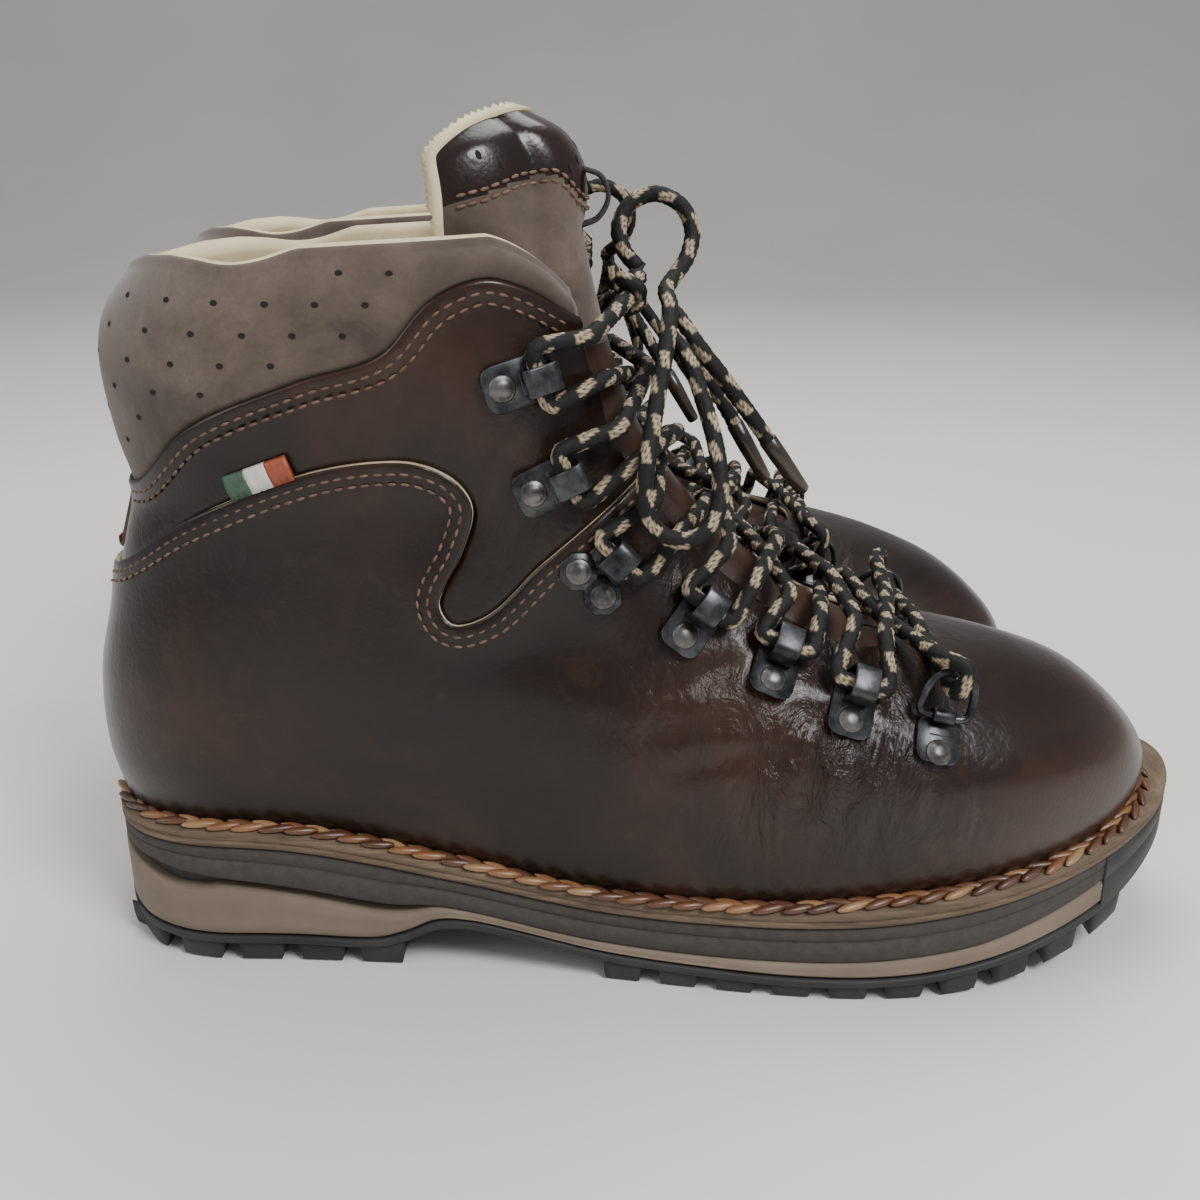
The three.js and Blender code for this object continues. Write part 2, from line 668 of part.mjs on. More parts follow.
// Lace supports in side view, from the top hook down to the toe ring.
const HOOK_PLACES = graded([[129, 171.5], [136, 146.5], [149, 125], [172, 111], [193, 99], [212.5, 90.5]]);
const RING_PLACE = graded([[234, 82.5]])[0];
const OPEN_HOOKS = 2; // the top two are open hooks, the rest closed loops
const TWIN_HOOK = 2; // this one has two rivets
const LACE_ROOM = LACE_DIAMETER + 2; // opening of a hook
const PLATE_FRONT = LACE_ROOM / 2 + HOOK_METAL;
const RIVET_CLEAR = 0.6; // rivet to the hook head
const PLATE_BORDER = 1.2; // plate behind the rivet
const RIVET_SETBACK = PLATE_FRONT + RIVET_CLEAR + RIVET_RADIUS;
const PLATE_BACK = RIVET_SETBACK + RIVET_RADIUS + PLATE_BORDER;
const SUNK = 0.2; // how far a joined piece reaches into the plate under it

function plate(width, back, front) {
  const half = width / 2;
  const cut = PLATE_CUT;
  const outline = shapeOf([
    [-back + cut, -half], [front, -half], [front, half], [-back + cut, half],
    [-back, half - cut], [-back, cut - half],
  ]);
  return prism(outline, PLATE_THICKNESS);
}

function rivet(x, y) {
  const dome = new THREE.CylinderGeometry(RIVET_RADIUS * 0.6, RIVET_RADIUS, RIVET_HEIGHT, 8);
  return dome.rotateX(Math.PI / 2).translate(x, y, PLATE_THICKNESS + RIVET_HEIGHT / 2 - SUNK / 2);
}

// A closed loop, or an open hook whose mouth faces away from the ridge.
function hookSection(isOpen) {
  const inner = LACE_ROOM / 2;
  const outer = inner + HOOK_METAL;
  const foot = PLATE_THICKNESS - SUNK;
  const floor = PLATE_THICKNESS + (isOpen ? 0 : SUNK);
  const roof = PLATE_THICKNESS + LACE_ROOM;
  const top = roof + HOOK_METAL;
  if (isOpen) {
    return shapeOf([
      [-outer, foot], [outer, foot], [outer, top], [-outer, top], [-outer, roof - LIP],
      [-inner, roof - LIP], [-inner, roof], [inner, roof], [inner, floor], [-outer, floor],
    ]);
  }
  const section = shapeOf([[-outer, foot], [outer, foot], [outer, top], [-outer, top]]);
  section.holes.push(shapeOf([[-inner, floor], [-inner, roof], [inner, roof], [inner, floor]]));
  return section;
}

// A section drawn across the throat and up, as a bar that runs along the throat.
function alongThroat(section, length) {
  return prism(section, length).rotateX(Math.PI / 2).translate(0, length / 2, 0);
}

function hook(isOpen, isTwin) {
  const rows = isTwin ? [-TWIN_PLATE_WIDTH / 4, TWIN_PLATE_WIDTH / 4] : [0];
  return joined([
    plate(isTwin ? TWIN_PLATE_WIDTH : PLATE_WIDTH, PLATE_BACK, PLATE_FRONT),
    alongThroat(hookSection(isOpen), HOOK_WIDTH),
    ...rows.map((y) => rivet(-RIVET_SETBACK, y)),
  ]);
}

// The toe ring's plate is folded over the ring's bar, and the ring turns in the fold.
const BAR_HEIGHT = PLATE_THICKNESS + RING_WIRE / 2 + GAP;
const FOLD_LENGTH = 6;
const FOLD_SIDES = 8;
function ringPlate() {
  const hole = RING_WIRE / 2 + GAP;
  const circle = (radius) => Array.from({ length: FOLD_SIDES }, (_, i) => {
    const angle = (2 * Math.PI * i) / FOLD_SIDES;
    return [radius * Math.cos(angle), BAR_HEIGHT + radius * Math.sin(angle)];
  });
  const fold = shapeOf(circle(hole + PLATE_THICKNESS));
  fold.holes.push(shapeOf(circle(hole)));
  return joined([
    plate(PLATE_WIDTH, RIVET_SETBACK + RIVET_RADIUS, 0),
    alongThroat(fold, FOLD_LENGTH),
    rivet(-RIVET_SETBACK - RIVET_CLEAR, 0),
  ]);
}

// A D of wire: the straight bar is the pivot, along y.
const RING_CORNER = 3;
const WIRE_SIDES = 6;
function toeRing() {
  const half = RING_WIDTH / 2;
  const shoulder = RING_REACH - RING_CORNER;
  const path = [
    [0, RING_CORNER - half], [0, half - RING_CORNER], [RING_CORNER, half], [shoulder, half * 0.85],
    [RING_REACH, half * 0.4], [RING_REACH, -half * 0.4], [shoulder, -half * 0.85],
    [RING_CORNER, -half],
  ];
  const loops = path.map(([x, y], i) => {
    const before = path[(i + path.length - 1) % path.length];
    const after = path[(i + 1) % path.length];
    const along = new THREE.Vector2(after[0] - before[0], after[1] - before[1]).normalize();
    return Array.from({ length: WIRE_SIDES }, (_, j) => {
      const angle = (2 * Math.PI * j) / WIRE_SIDES;
      const off = (RING_WIRE / 2) * Math.cos(angle);
      const up = (RING_WIRE / 2) * Math.sin(angle);
      return new THREE.Vector3(x + along.y * off, y - along.x * off, up);
    });
  });
  return toSolid(loft(loops, true).rotateY(-RING_TILT).translate(0, 0, BAR_HEIGHT));
}

// ---------------------------------------------------------------- lace

const LACE_HEIGHT = PLATE_THICKNESS + LACE_ROOM / 2; // of a strand in a hook
const STRAND_RISE = LACE_DIAMETER / 2 + 0.6; // centre of a strand above what it lies on
const EDGE_RISE = 5; // more where it passes the throat's edge
const OVER_RISE = 2; // more for the strand that passes over the other
const RING_RISE = 5; // more where it leaves the toe ring
const BAR_RISE = 3.5; // of the strand between the two toe rings
const HOOK_CLEAR = 2; // from a hook to the turns of the strand in it

// The place halfway from a lace support to the ridge, on one side, raised off the skin.
function edgePoint(place, level, side, rise) {
  const ridge = frontLine(level);
  const halfway = [(place[0] + ridge[0]) / 2, (place[1] + ridge[1]) / 2];
  return onSkin(...findSide(...halfway), side, STRAND_RISE + rise);
}

// Points where a strand crosses the throat from one support to the next, on the other side.
function crossing(from, to, side, isLow) {
  const level = (ridgeLevel(from) + ridgeLevel(to)) / 2;
  const rise = EDGE_RISE + (isLow ? 0 : OVER_RISE);
  const height = STRAND_RISE - TONGUE_SINK + (isLow ? 0 : LACE_DIAMETER + 1);
  return [
    edgePoint(from, level, side, rise + (from === RING_PLACE ? RING_RISE : 0)),
    onSkin(level, 1, 1, height),
    edgePoint(to, level, -side, rise),
  ];
}

// Points of one half of the lace, from the toe ring up to the knot. Its first crossing is
// towards the other side; a low half passes under the other half at each crossing.
function laceHalf(frames, ring, firstSide, isLow) {
  const at = (frame, x, y, z) => new THREE.Vector3(x, y, z).applyMatrix4(frame);
  const tilt = (reach, off) => at(
    ring[firstSide],
    reach * Math.cos(RING_TILT) - off * Math.sin(RING_TILT),
    0,
    BAR_HEIGHT + reach * Math.sin(RING_TILT) + off * Math.cos(RING_TILT),
  );
  const turn = (RING_WIRE + LACE_DIAMETER) / 2 + RING_PLAY / 2;
  const inside = RING_REACH - turn * 0.75;
  const points = [
    tilt(RING_REACH + 2, -turn), tilt(inside, -turn * 0.75), tilt(inside, turn),
    tilt(RING_REACH + turn * 0.8, turn * 1.3),
  ];
  const hookEnd = (HOOK_WIDTH + LACE_DIAMETER) / 2 + HOOK_CLEAR;
  let side = firstSide;
  let from = RING_PLACE;
  HOOK_PLACES.toReversed().forEach((place, i) => {
    points.push(...crossing(from, place, side, isLow));
    side = -side;
    const frame = frames[side][HOOK_PLACES.length - 1 - i];
    points.push(at(frame, 0, -hookEnd, LACE_HEIGHT), at(frame, 0, hookEnd, LACE_HEIGHT));
    from = place;
  });
  return points;
}

// A path whose extruded sections stand exactly at its points.
class Strand extends THREE.Curve {
  constructor(points) {
    super();
    this.points = points;
  }

  getPointAt(u) {
    const last = this.points.length - 1;
    return this.points[Math.min(Math.round(u * last), last)].clone();
  }

  getTangentAt(u) {
    const last = this.points.length - 1;
    const i = Math.min(Math.round(u * last), last);
    const before = this.points[i].clone().sub(this.points[Math.max(i - 1, 0)]).normalize();
    const after = this.points[Math.min(i + 1, last)].clone().sub(this.points[i]).normalize();
    return before.add(after).normalize();
  }

  getPoint(t) {
    return this.getPointAt(t);
  }
}

function cord(points) {
  const section = shapeOf(Array.from({ length: CORD_SIDES }, (_, i) => {
    const angle = (2 * Math.PI * i) / CORD_SIDES;
    return [(LACE_DIAMETER / 2) * Math.cos(angle), (LACE_DIAMETER / 2) * Math.sin(angle)];
  }));
  const steps = points.length - 1;
  const extrudePath = new Strand(points);
  return new THREE.ExtrudeGeometry(section, { steps, extrudePath, bevelEnabled: false });
}

const KNOT_REST = 0.5; // knot to the skin under it
const KNOT_FORM = [0.9, 1.15, 0.9]; // it is wider across the boot
const knotPlace = () => onSkin(KNOT_LEVEL, 1, 1, KNOT_RADIUS + KNOT_REST);

function heldLace(frames, ring) {
  const knot = knotPlace();
  const low = laceHalf(frames, ring, -1, true);
  const high = laceHalf(frames, ring, 1, false);
  const barLevel = ridgeLevel(RING_PLACE);
  const bar = [
    edgePoint(RING_PLACE, barLevel, -1, BAR_RISE),
    onSkin(barLevel, 1, 1, STRAND_RISE + 0.5),
    edgePoint(RING_PLACE, barLevel, 1, BAR_RISE),
  ];
  const end = (side) => new THREE.Vector3(knot.x, knot.y + side * KNOT_RADIUS * 0.6, knot.z - 1);
  const edge = (side) => edgePoint(HOOK_PLACES[0], KNOT_LEVEL, side, EDGE_RISE);
  const lowSide = low.at(-1).y < knot.y ? -1 : 1;
  const strand = [
    end(lowSide), edge(lowSide), ...low.reverse(), ...bar, ...high, edge(-lowSide), end(-lowSide),
  ];
  const body = new THREE.SphereGeometry(KNOT_RADIUS, 10, 6).scale(...KNOT_FORM);
  return joined([cord(strand), body.translate(knot.x, knot.y, knot.z)]);
}

// Free stretches, as offsets from the knot: the bow's two loops and the two tails. Each
// runs across the front of the knot, where the wrap is.
const BOW = [
  [2.5, 9.5, 4.5], [-1.5, 12.5, 9], [-3, 15, 15], [0, 17.8, 20.8], [7, 19, 23.5], [14, 17.8, 20.5],
  [17, 15, 14], [15.5, 11, 7.5], [12, 6, 3], [9.3, -1, 0], [10, -8.5, -3], [9, -17, -11],
  [6, -28.5, -25], [3.5, -38.5, -38], [3, -40.5, -47], [5.8, -41, -53.7], [12.5, -41.5, -56.5],
  [19.2, -40, -53.7], [22, -36, -47], [21.5, -30, -37], [18.5, -23, -26], [14.5, -16, -15.5],
  [9.5, -10, -9],
];
const TAILS = [
  [34, 16, -45], [27, 15.5, -33], [19.5, 14, -21], [14.6, 12.2, -12.8], [11.8, 7.6, -6.8],
  [10.8, 0.8, -4.7], [12.6, -5.9, -6.6], [16.8, -9.8, -12.2], [23.5, -10.5, -20.5], [31.5, -9, -31],
  [41, -6, -44],
];
const CORD_STEP = 2.4; // in diameters
function freeCord(offsets) {
  const knot = knotPlace();
  const places = offsets.map(([x, y, z]) => new THREE.Vector3(x, y, z).add(knot));
  const path = new THREE.CatmullRomCurve3(places, false, "centripetal");
  return toSolid(cord(path.getSpacedPoints(Math.round(path.getLength() / (CORD_STEP * LACE_DIAMETER)))));
}

// ---------------------------------------------------------------- materials

function finish(color, roughness, metalness = 0) {
  return new THREE.MeshStandardMaterial({ color, roughness, metalness });
}
const BLACK_RUBBER = finish(0x1d1d1d, 0.75);
const TAUPE_FOAM = finish(0x7d7061, 0.85);
const GREY_FOAM = finish(0x3a3836, 0.9);
const WELT_LEATHER = finish(0x6b5a45, 0.8);
const BROWN_LEATHER = finish(0x2e1a12, 0.35);
const NUBUCK = finish(0x5a4a40, 0.85);
const CREAM_LEATHER = finish(0xd9cda6, 0.7);
const BOARD_FIBRE = finish(0xa58a62, 0.9);
const FELT = finish(0x4a4a4c, 0.95);
const GUNMETAL = finish(0x3b3d40, 0.35, 0.9);
const BRAID = finish(0x191919, 0.8);

// ---------------------------------------------------------------- assembly

function bootParts(name) {
  const boot = new THREE.Group();
  const put = (piece, geometry, material) => {
    const mesh = new THREE.Mesh(geometry, material);
    mesh.name = `${name}_${piece}`;
    boot.add(mesh);
    return mesh;
  };
  put("outsole", bent(toGeometry(outsole())), BLACK_RUBBER);
  put("wedge", bent(toGeometry(wedge())), TAUPE_FOAM);
  put("midsole", bent(toGeometry(midsole())), GREY_FOAM);
  put("welt", bent(toGeometry(welt())), WELT_LEATHER);
  put("insole_board", bent(toGeometry(insoleBoard())), BOARD_FIBRE);
  put("footbed", bent(toGeometry(footbed())), FELT);
  put("vamp", toGeometry(vamp()), BROWN_LEATHER);
  put("ankle_quarter", toGeometry(quarter()), BROWN_LEATHER);
  put("collar", toGeometry(collar()), NUBUCK);
  put("lining", toGeometry(lining()), CREAM_LEATHER);
  put("tongue", toGeometry(tongue()), NUBUCK);

  const frames = {};
  const ring = {};
  [[-1, "outer"], [1, "inner"]].forEach(([side, where]) => {
    frames[side] = HOOK_PLACES.map((place) => frameAt(place, side));
    ring[side] = frameAt(RING_PLACE, side);
    frames[side].forEach((frame, i) => {
      const solid = hook(i < OPEN_HOOKS, i === TWIN_HOOK);
      put(`${where}_hook_${i + 1}`, toGeometry(solid), GUNMETAL).applyMatrix4(frame);
    });
    put(`${where}_ring_plate`, toGeometry(ringPlate()), GUNMETAL).applyMatrix4(ring[side]);
    put(`${where}_toe_ring`, toGeometry(toeRing()), GUNMETAL).applyMatrix4(ring[side]);
  });
  put("lace", toGeometry(heldLace(frames, ring)), BRAID);
  put("lace_bow", toGeometry(freeCord(BOW)), BRAID);
  put("lace_tails", toGeometry(freeCord(TAILS)), BRAID);
  return boot;
}

// The part stands on z = 0 with its origin under the middle of the pair.
const pair = new THREE.Group();
const right = bootParts("right");
const left = bootParts("left");
left.scale.y = -1;
left.position.set(PAIR_STAGGER, PAIR_PITCH, 0);
pair.add(right, left);
pair.updateMatrixWorld(true);
const box = new THREE.Box3().setFromObject(pair, true);
const middle = box.getCenter(new THREE.Vector3());
pair.position.set(-middle.x, -middle.y, -box.min.z);

export default pair;
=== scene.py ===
"""A pair of laced leather mountaineering boots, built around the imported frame.

The upper is one smooth surface, the skin. A place on it is (a, v): a runs round the boot from
the heel (0) along the outer side to the ridge (1) and back along the inner side (2), and v runs
up from the welt (0) to the rim (1). The shapes are worked out in the right boot's own frame in
millimetres: x from the heel, y across with the outer side at minus y, z up from the floor. The
left boot is the mirror image.
"""

import math

import bpy
import numpy as np
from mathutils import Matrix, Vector
from mathutils.geometry import delaunay_2d_cdt
from mathutils.kdtree import KDTree


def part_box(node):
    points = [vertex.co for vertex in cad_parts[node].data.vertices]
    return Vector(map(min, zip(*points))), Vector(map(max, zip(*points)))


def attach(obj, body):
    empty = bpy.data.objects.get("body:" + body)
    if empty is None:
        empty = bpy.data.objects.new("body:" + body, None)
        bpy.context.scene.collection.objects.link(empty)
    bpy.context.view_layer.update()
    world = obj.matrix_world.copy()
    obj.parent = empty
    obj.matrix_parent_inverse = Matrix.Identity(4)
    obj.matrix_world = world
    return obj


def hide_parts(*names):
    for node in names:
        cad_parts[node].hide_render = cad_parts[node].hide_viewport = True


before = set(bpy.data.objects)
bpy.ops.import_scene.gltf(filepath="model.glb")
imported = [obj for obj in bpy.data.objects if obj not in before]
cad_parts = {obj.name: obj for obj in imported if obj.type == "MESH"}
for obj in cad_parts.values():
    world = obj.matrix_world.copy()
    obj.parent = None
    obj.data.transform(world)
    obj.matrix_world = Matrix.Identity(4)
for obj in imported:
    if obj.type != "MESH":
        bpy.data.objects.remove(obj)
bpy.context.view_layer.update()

# ------------------------------------------------------------------ places of the two boots

MM = 0.001
PITCH = 0.108  # centre line to centre line
BOOTS = {
    "right": (np.array([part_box("right_welt")[0][0], -PITCH / 2, 0]), 1),
    "left": (np.array([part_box("left_welt")[0][0], PITCH / 2, 0]), -1),
}


def to_world(points, boot):
    origin, mirror = BOOTS[boot]
    return np.asarray(points, float) * [MM, MM * mirror, MM] + origin


# ------------------------------------------------------------------ sizes, as in the CAD

SOLE_LENGTH = 320
HEEL_SPAN = 37
BALL_SPAN = 49.5
WELT_THICKNESS = 5
WELT_LEDGE = 5.5
THROAT_HALF_WIDTH = 22
THROAT_END = 231
LACE_DIAMETER = 4.6
KNOT_RADIUS = 7
KNOT_LEVEL = 0.93
KNOT_REST = 0.5
PLATE_THICKNESS = 1.2
HARDWARE_LIFT = 0.85
RIVET_RADIUS = 3.4
PLATE_WIDTH = 12
TWIN_PLATE_WIDTH = 18
HOOK_WIDTH = 7
HOOK_METAL = 1.6
RING_WIRE = 2.2
RING_REACH = 12
RING_WIDTH = 14
RING_TILT = math.radians(40)
RING_PLAY = 3.8  # 2.6 in the CAD: more here, as the rounded lace cuts its corners at the ring
LACE_ROOM = LACE_DIAMETER + 2
LEATHER = 2.6
LINING = 1.5
COLLAR_DEPTH = 6


# ------------------------------------------------------------------ curves

def smooth(points):
    """A smooth function through (t, value) points, for arrays."""
    t, a = np.array(points, float).T
    last = len(t) - 1
    before = np.maximum(np.arange(last + 1) - 1, 0)
    after = np.minimum(np.arange(last + 1) + 1, last)
    slope = (a[after] - a[before]) / (t[after] - t[before])

    def at(x):
        x = np.clip(x, t[0], t[-1])
        i = np.clip(np.searchsorted(t, x, side="right") - 1, 0, last - 1)
        h = t[i + 1] - t[i]
        q = (x - t[i]) / h
        q2, q3 = q * q, q * q * q
        return ((2 * q3 - 3 * q2 + 1) * a[i] + (q3 - 2 * q2 + q) * h * slope[i]
                + (3 * q2 - 2 * q3) * a[i + 1] + (q3 - q2) * h * slope[i + 1])

    return at


def route(points):
    """A smooth route through points, by the fraction of its chord length."""
    points = np.array(points, float)
    steps = np.linalg.norm(np.diff(points, axis=0), axis=1)
    at = np.concatenate([[0], np.cumsum(steps)]) / steps.sum()
    axes = [smooth(np.column_stack([at, column])) for column in points.T]
    return lambda t: np.stack([axis(t) for axis in axes], axis=-1)


def even(points, step):
    """The same line with points about a step apart."""
    points = np.asarray(points, float)
    at = np.concatenate([[0], np.cumsum(np.linalg.norm(np.diff(points, axis=0), axis=1))])
    count = max(int(round(at[-1] / step)), 2)
    want = np.linspace(0, at[-1], count + 1)
    return np.column_stack([np.interp(want, at, column) for column in points.T])


def ease(t):
    q = np.clip(t, 0, 1)
    return q * q * (3 - 2 * q)


def round_end(distance, reach, power):
    q = np.clip(distance / reach, 0, 1)
    return (1 - (1 - q) ** power) ** (1 / power)


bend = smooth([[0, 0], [60, 0.5], [130, -2.5], [200, -5], [250, -2], [290, 4], [320, 9]])
welt_top = smooth([
    [0, 43], [30, 43.5], [62, 41.5], [103, 34.5], [145, 27.8], [189, 27.5], [227, 30],
    [259, 33.6], [290, 38.5], [320, 46]])
midsole_bottom = smooth([
    [0, 32], [20, 30], [59, 24.5], [84, 20.5], [100, 20.5], [145, 12.8], [200, 12],
    [247, 15.5], [268, 20], [290, 26], [320, 36]])
wedge_top = smooth([
    [0, 31.4], [7, 29], [20, 24], [31, 23.6], [36, 24.6], [59, 21.6], [80, 17.6], [90, 17.8],
    [100, 20.2], [145, 12.5], [200, 11.7], [247, 15.2], [268, 19.7], [290, 25.7]])
rubber_top = smooth([
    [0, 15], [5, 11.5], [14, 9.5], [58, 9], [80, 8.8], [89, 11.5], [98, 15.8], [108, 16.4],
    [121, 14.2], [145, 9.6], [170, 7.8], [200, 7], [230, 7.8], [247, 9.6], [268, 13],
    [290, 18.5], [305, 25], [320, 34]])
lug_bottom = smooth([
    [0, 9], [5, 4], [13, 0], [14, 0], [239, 0], [240, 0], [256, 1.2], [272, 3.4], [288, 7],
    [300, 12], [312, 20], [320, 27]])
sole_side = smooth([
    [0, HEEL_SPAN - 1], [64, HEEL_SPAN], [125, HEEL_SPAN + 2.5], [215, BALL_SPAN],
    [245, BALL_SPAN], [320, BALL_SPAN - 6]])


def sole_half(x):
    heel = round_end(x, 40, 2.2)
    return sole_side(x) * heel * round_end(SOLE_LENGTH - x, 84, 2.25)


# ------------------------------------------------------------------ the skin

back_line = route([
    [2, 43], [-1, 61], [0, 84], [5, 103], [12, 124], [16, 139], [14.8, 153], [14.1, 175],
    [17, 186], [24, 197]])
front_line = route([
    [308.5, 44], [310.5, 52], [304, 64.5], [289, 77.5], [269, 86], [252, 90.5], [229, 94.5],
    [208, 103.5], [188, 117.5], [170, 135.5], [158, 152], [150, 172], [145, 190], [142, 204]])
heel_half = smooth([
    [0, HEEL_SPAN - WELT_LEDGE], [0.12, HEEL_SPAN - 0.5], [0.25, HEEL_SPAN + 1],
    [0.4, HEEL_SPAN + 1], [0.55, HEEL_SPAN], [0.7, HEEL_SPAN], [0.85, HEEL_SPAN + 2.5],
    [1, HEEL_SPAN + 2]])
ball_half = smooth([
    [0, BALL_SPAN - WELT_LEDGE], [0.12, BALL_SPAN], [0.25, BALL_SPAN - 5],
    [0.4, BALL_SPAN - 10.5], [0.55, BALL_SPAN - 12.5], [0.7, BALL_SPAN - 13],
    [0.85, BALL_SPAN - 10.5], [1, BALL_SPAN - 10.5]])
front_round = smooth([
    [0, 78], [0.12, 84], [0.25, 108], [0.4, 78], [0.55, 60], [0.7, 50], [0.85, 44], [1, 42]])
back_round = smooth([[0, 38], [0.25, 42], [1, 44]])
front_power = smooth([[0, 2.25], [0.2, 2.2], [0.35, 2]])
FOOT_GAP = 0.45
FADE = 0.3
HALVINGS = 26


def slice_ends(v):
    back, front = back_line(v), front_line(v)
    return back[..., 0], back[..., 1], front[..., 0], front[..., 1]


def height_at(v, x):
    xb, zb, xf, zf = slice_ends(v)
    xb0, zb0, xf0, zf0 = slice_ends(0.0)
    flat = zb + (zf - zb) * (x - xb) / (xf - xb)
    low_flat = zb0 + (zf0 - zb0) * (x - xb0) / (xf0 - xb0)
    fade = np.maximum(1 - v / FADE, 0) ** 2
    return flat + fade * (welt_top(x) + FOOT_GAP - low_flat)


def half_at(v, x):
    xb, _, xf, _ = slice_ends(v)
    span = xf - xb
    along = ease(((x - xb) / span - 0.2) / 0.5)
    side = heel_half(v) + (ball_half(v) - heel_half(v)) * along
    front = np.minimum(front_round(v), span * 0.55)
    back = np.minimum(back_round(v), span * 0.45)
    return side * round_end(x - xb, back, 2) * round_end(xf - x, front, front_power(v))


def x_at(v, s):
    """How far forward the step s lies at a level."""
    xb, _, xf, _ = slice_ends(v)
    return xb + (xf - xb) * (1 - np.cos(np.pi * s)) / 2


def step_at(v, x):
    xb, _, xf, _ = slice_ends(v)
    return np.arccos(np.clip(1 - 2 * (x - xb) / (xf - xb), -1, 1)) / np.pi


def skin(a, v):
    a = np.mod(a, 2)
    v = np.clip(v, 0, 1)
    side = np.where(a <= 1, -1, 1)
    x = x_at(v, np.where(a <= 1, a, 2 - a))
    return np.stack([x, bend(x) + side * half_at(v, x), height_at(v, x)], axis=-1)


def unit(vectors):
    return vectors / np.maximum(np.linalg.norm(vectors, axis=-1, keepdims=True), 1e-12)


def skin_normal(a, v):
    along = skin(a + 0.004, v) - skin(a - 0.004, v)
    up = skin(a, np.clip(v + 0.004, 0, 1)) - skin(a, np.clip(v - 0.004, 0, 1))
    return unit(np.cross(along, up))


def on_skin(a, v, height):
    a, v, height = np.broadcast_arrays(np.asarray(a, float), v, height)
    return skin(a, v) + skin_normal(a, v) * height[..., None]


def round_place(s, side):
    """The around value of a step s from the heel, on the outer (-1) or the inner (1) side."""
    return s if side < 0 else 2 - s


def halved(low, high, is_under):
    """The last values that are under and the first that aren't, between two bounds."""
    for _ in range(HALVINGS):
        middle = (low + high) / 2
        under = is_under(middle)
        low, high = np.where(under, middle, low), np.where(under, high, middle)
    return low, high


def find_side(x, z):
    """The step and level of places in side view."""
    x, z = np.broadcast_arrays(np.asarray(x, float), np.asarray(z, float))
    v, _ = halved(np.zeros(x.shape), np.ones(x.shape), lambda level: height_at(level, x) < z)
    return step_at(v, x), v


def find_across(v, distance):
    """The step, near the ridge, where the skin at a level is a distance off the centre line."""
    v, distance = np.broadcast_arrays(np.asarray(v, float), distance)
    wide = lambda s: half_at(v, x_at(v, s)) > distance
    return halved(np.full(v.shape, 0.5), np.ones(v.shape), wide)[1]


def find_plan(x, distance):
    """The level near the ridge where the skin is a distance off the centre line at x."""
    wide = lambda v: half_at(v, x) > distance
    return halved(np.full(np.shape(x), 0.2), np.ones(np.shape(x)), wide)[0]


# ------------------------------------------------------------------ seams, in side view

VAMP_SEAM = [
    [-4, 112], [13, 116.5], [40, 134.5], [70, 147], [95, 150.8], [107.5, 147], [113, 139],
    [109.7, 126.5], [103.5, 113.5], [107, 107.5], [117, 111], [130, 124], [150, 140],
    [175, 158]]
COLLAR_SEAM = [
    [2, 136], [16, 139], [25.5, 142.6], [43.4, 159], [71.6, 170.6], [91.9, 177], [104.6, 189.9],
    [116.5, 194.8], [126, 192.5], [135.2, 186.6], [150, 176]]
top_line = smooth([
    [14, 190], [20, 193.5], [27, 196], [36, 198], [46, 197.5], [56, 196.2], [64, 197], [74, 200],
    [86, 203], [98, 204], [112, 203.7], [121, 202], [128, 198.5], [134, 193.6], [142, 184]])
collar_seam_at = smooth(COLLAR_SEAM)


# ------------------------------------------------------------------ materials

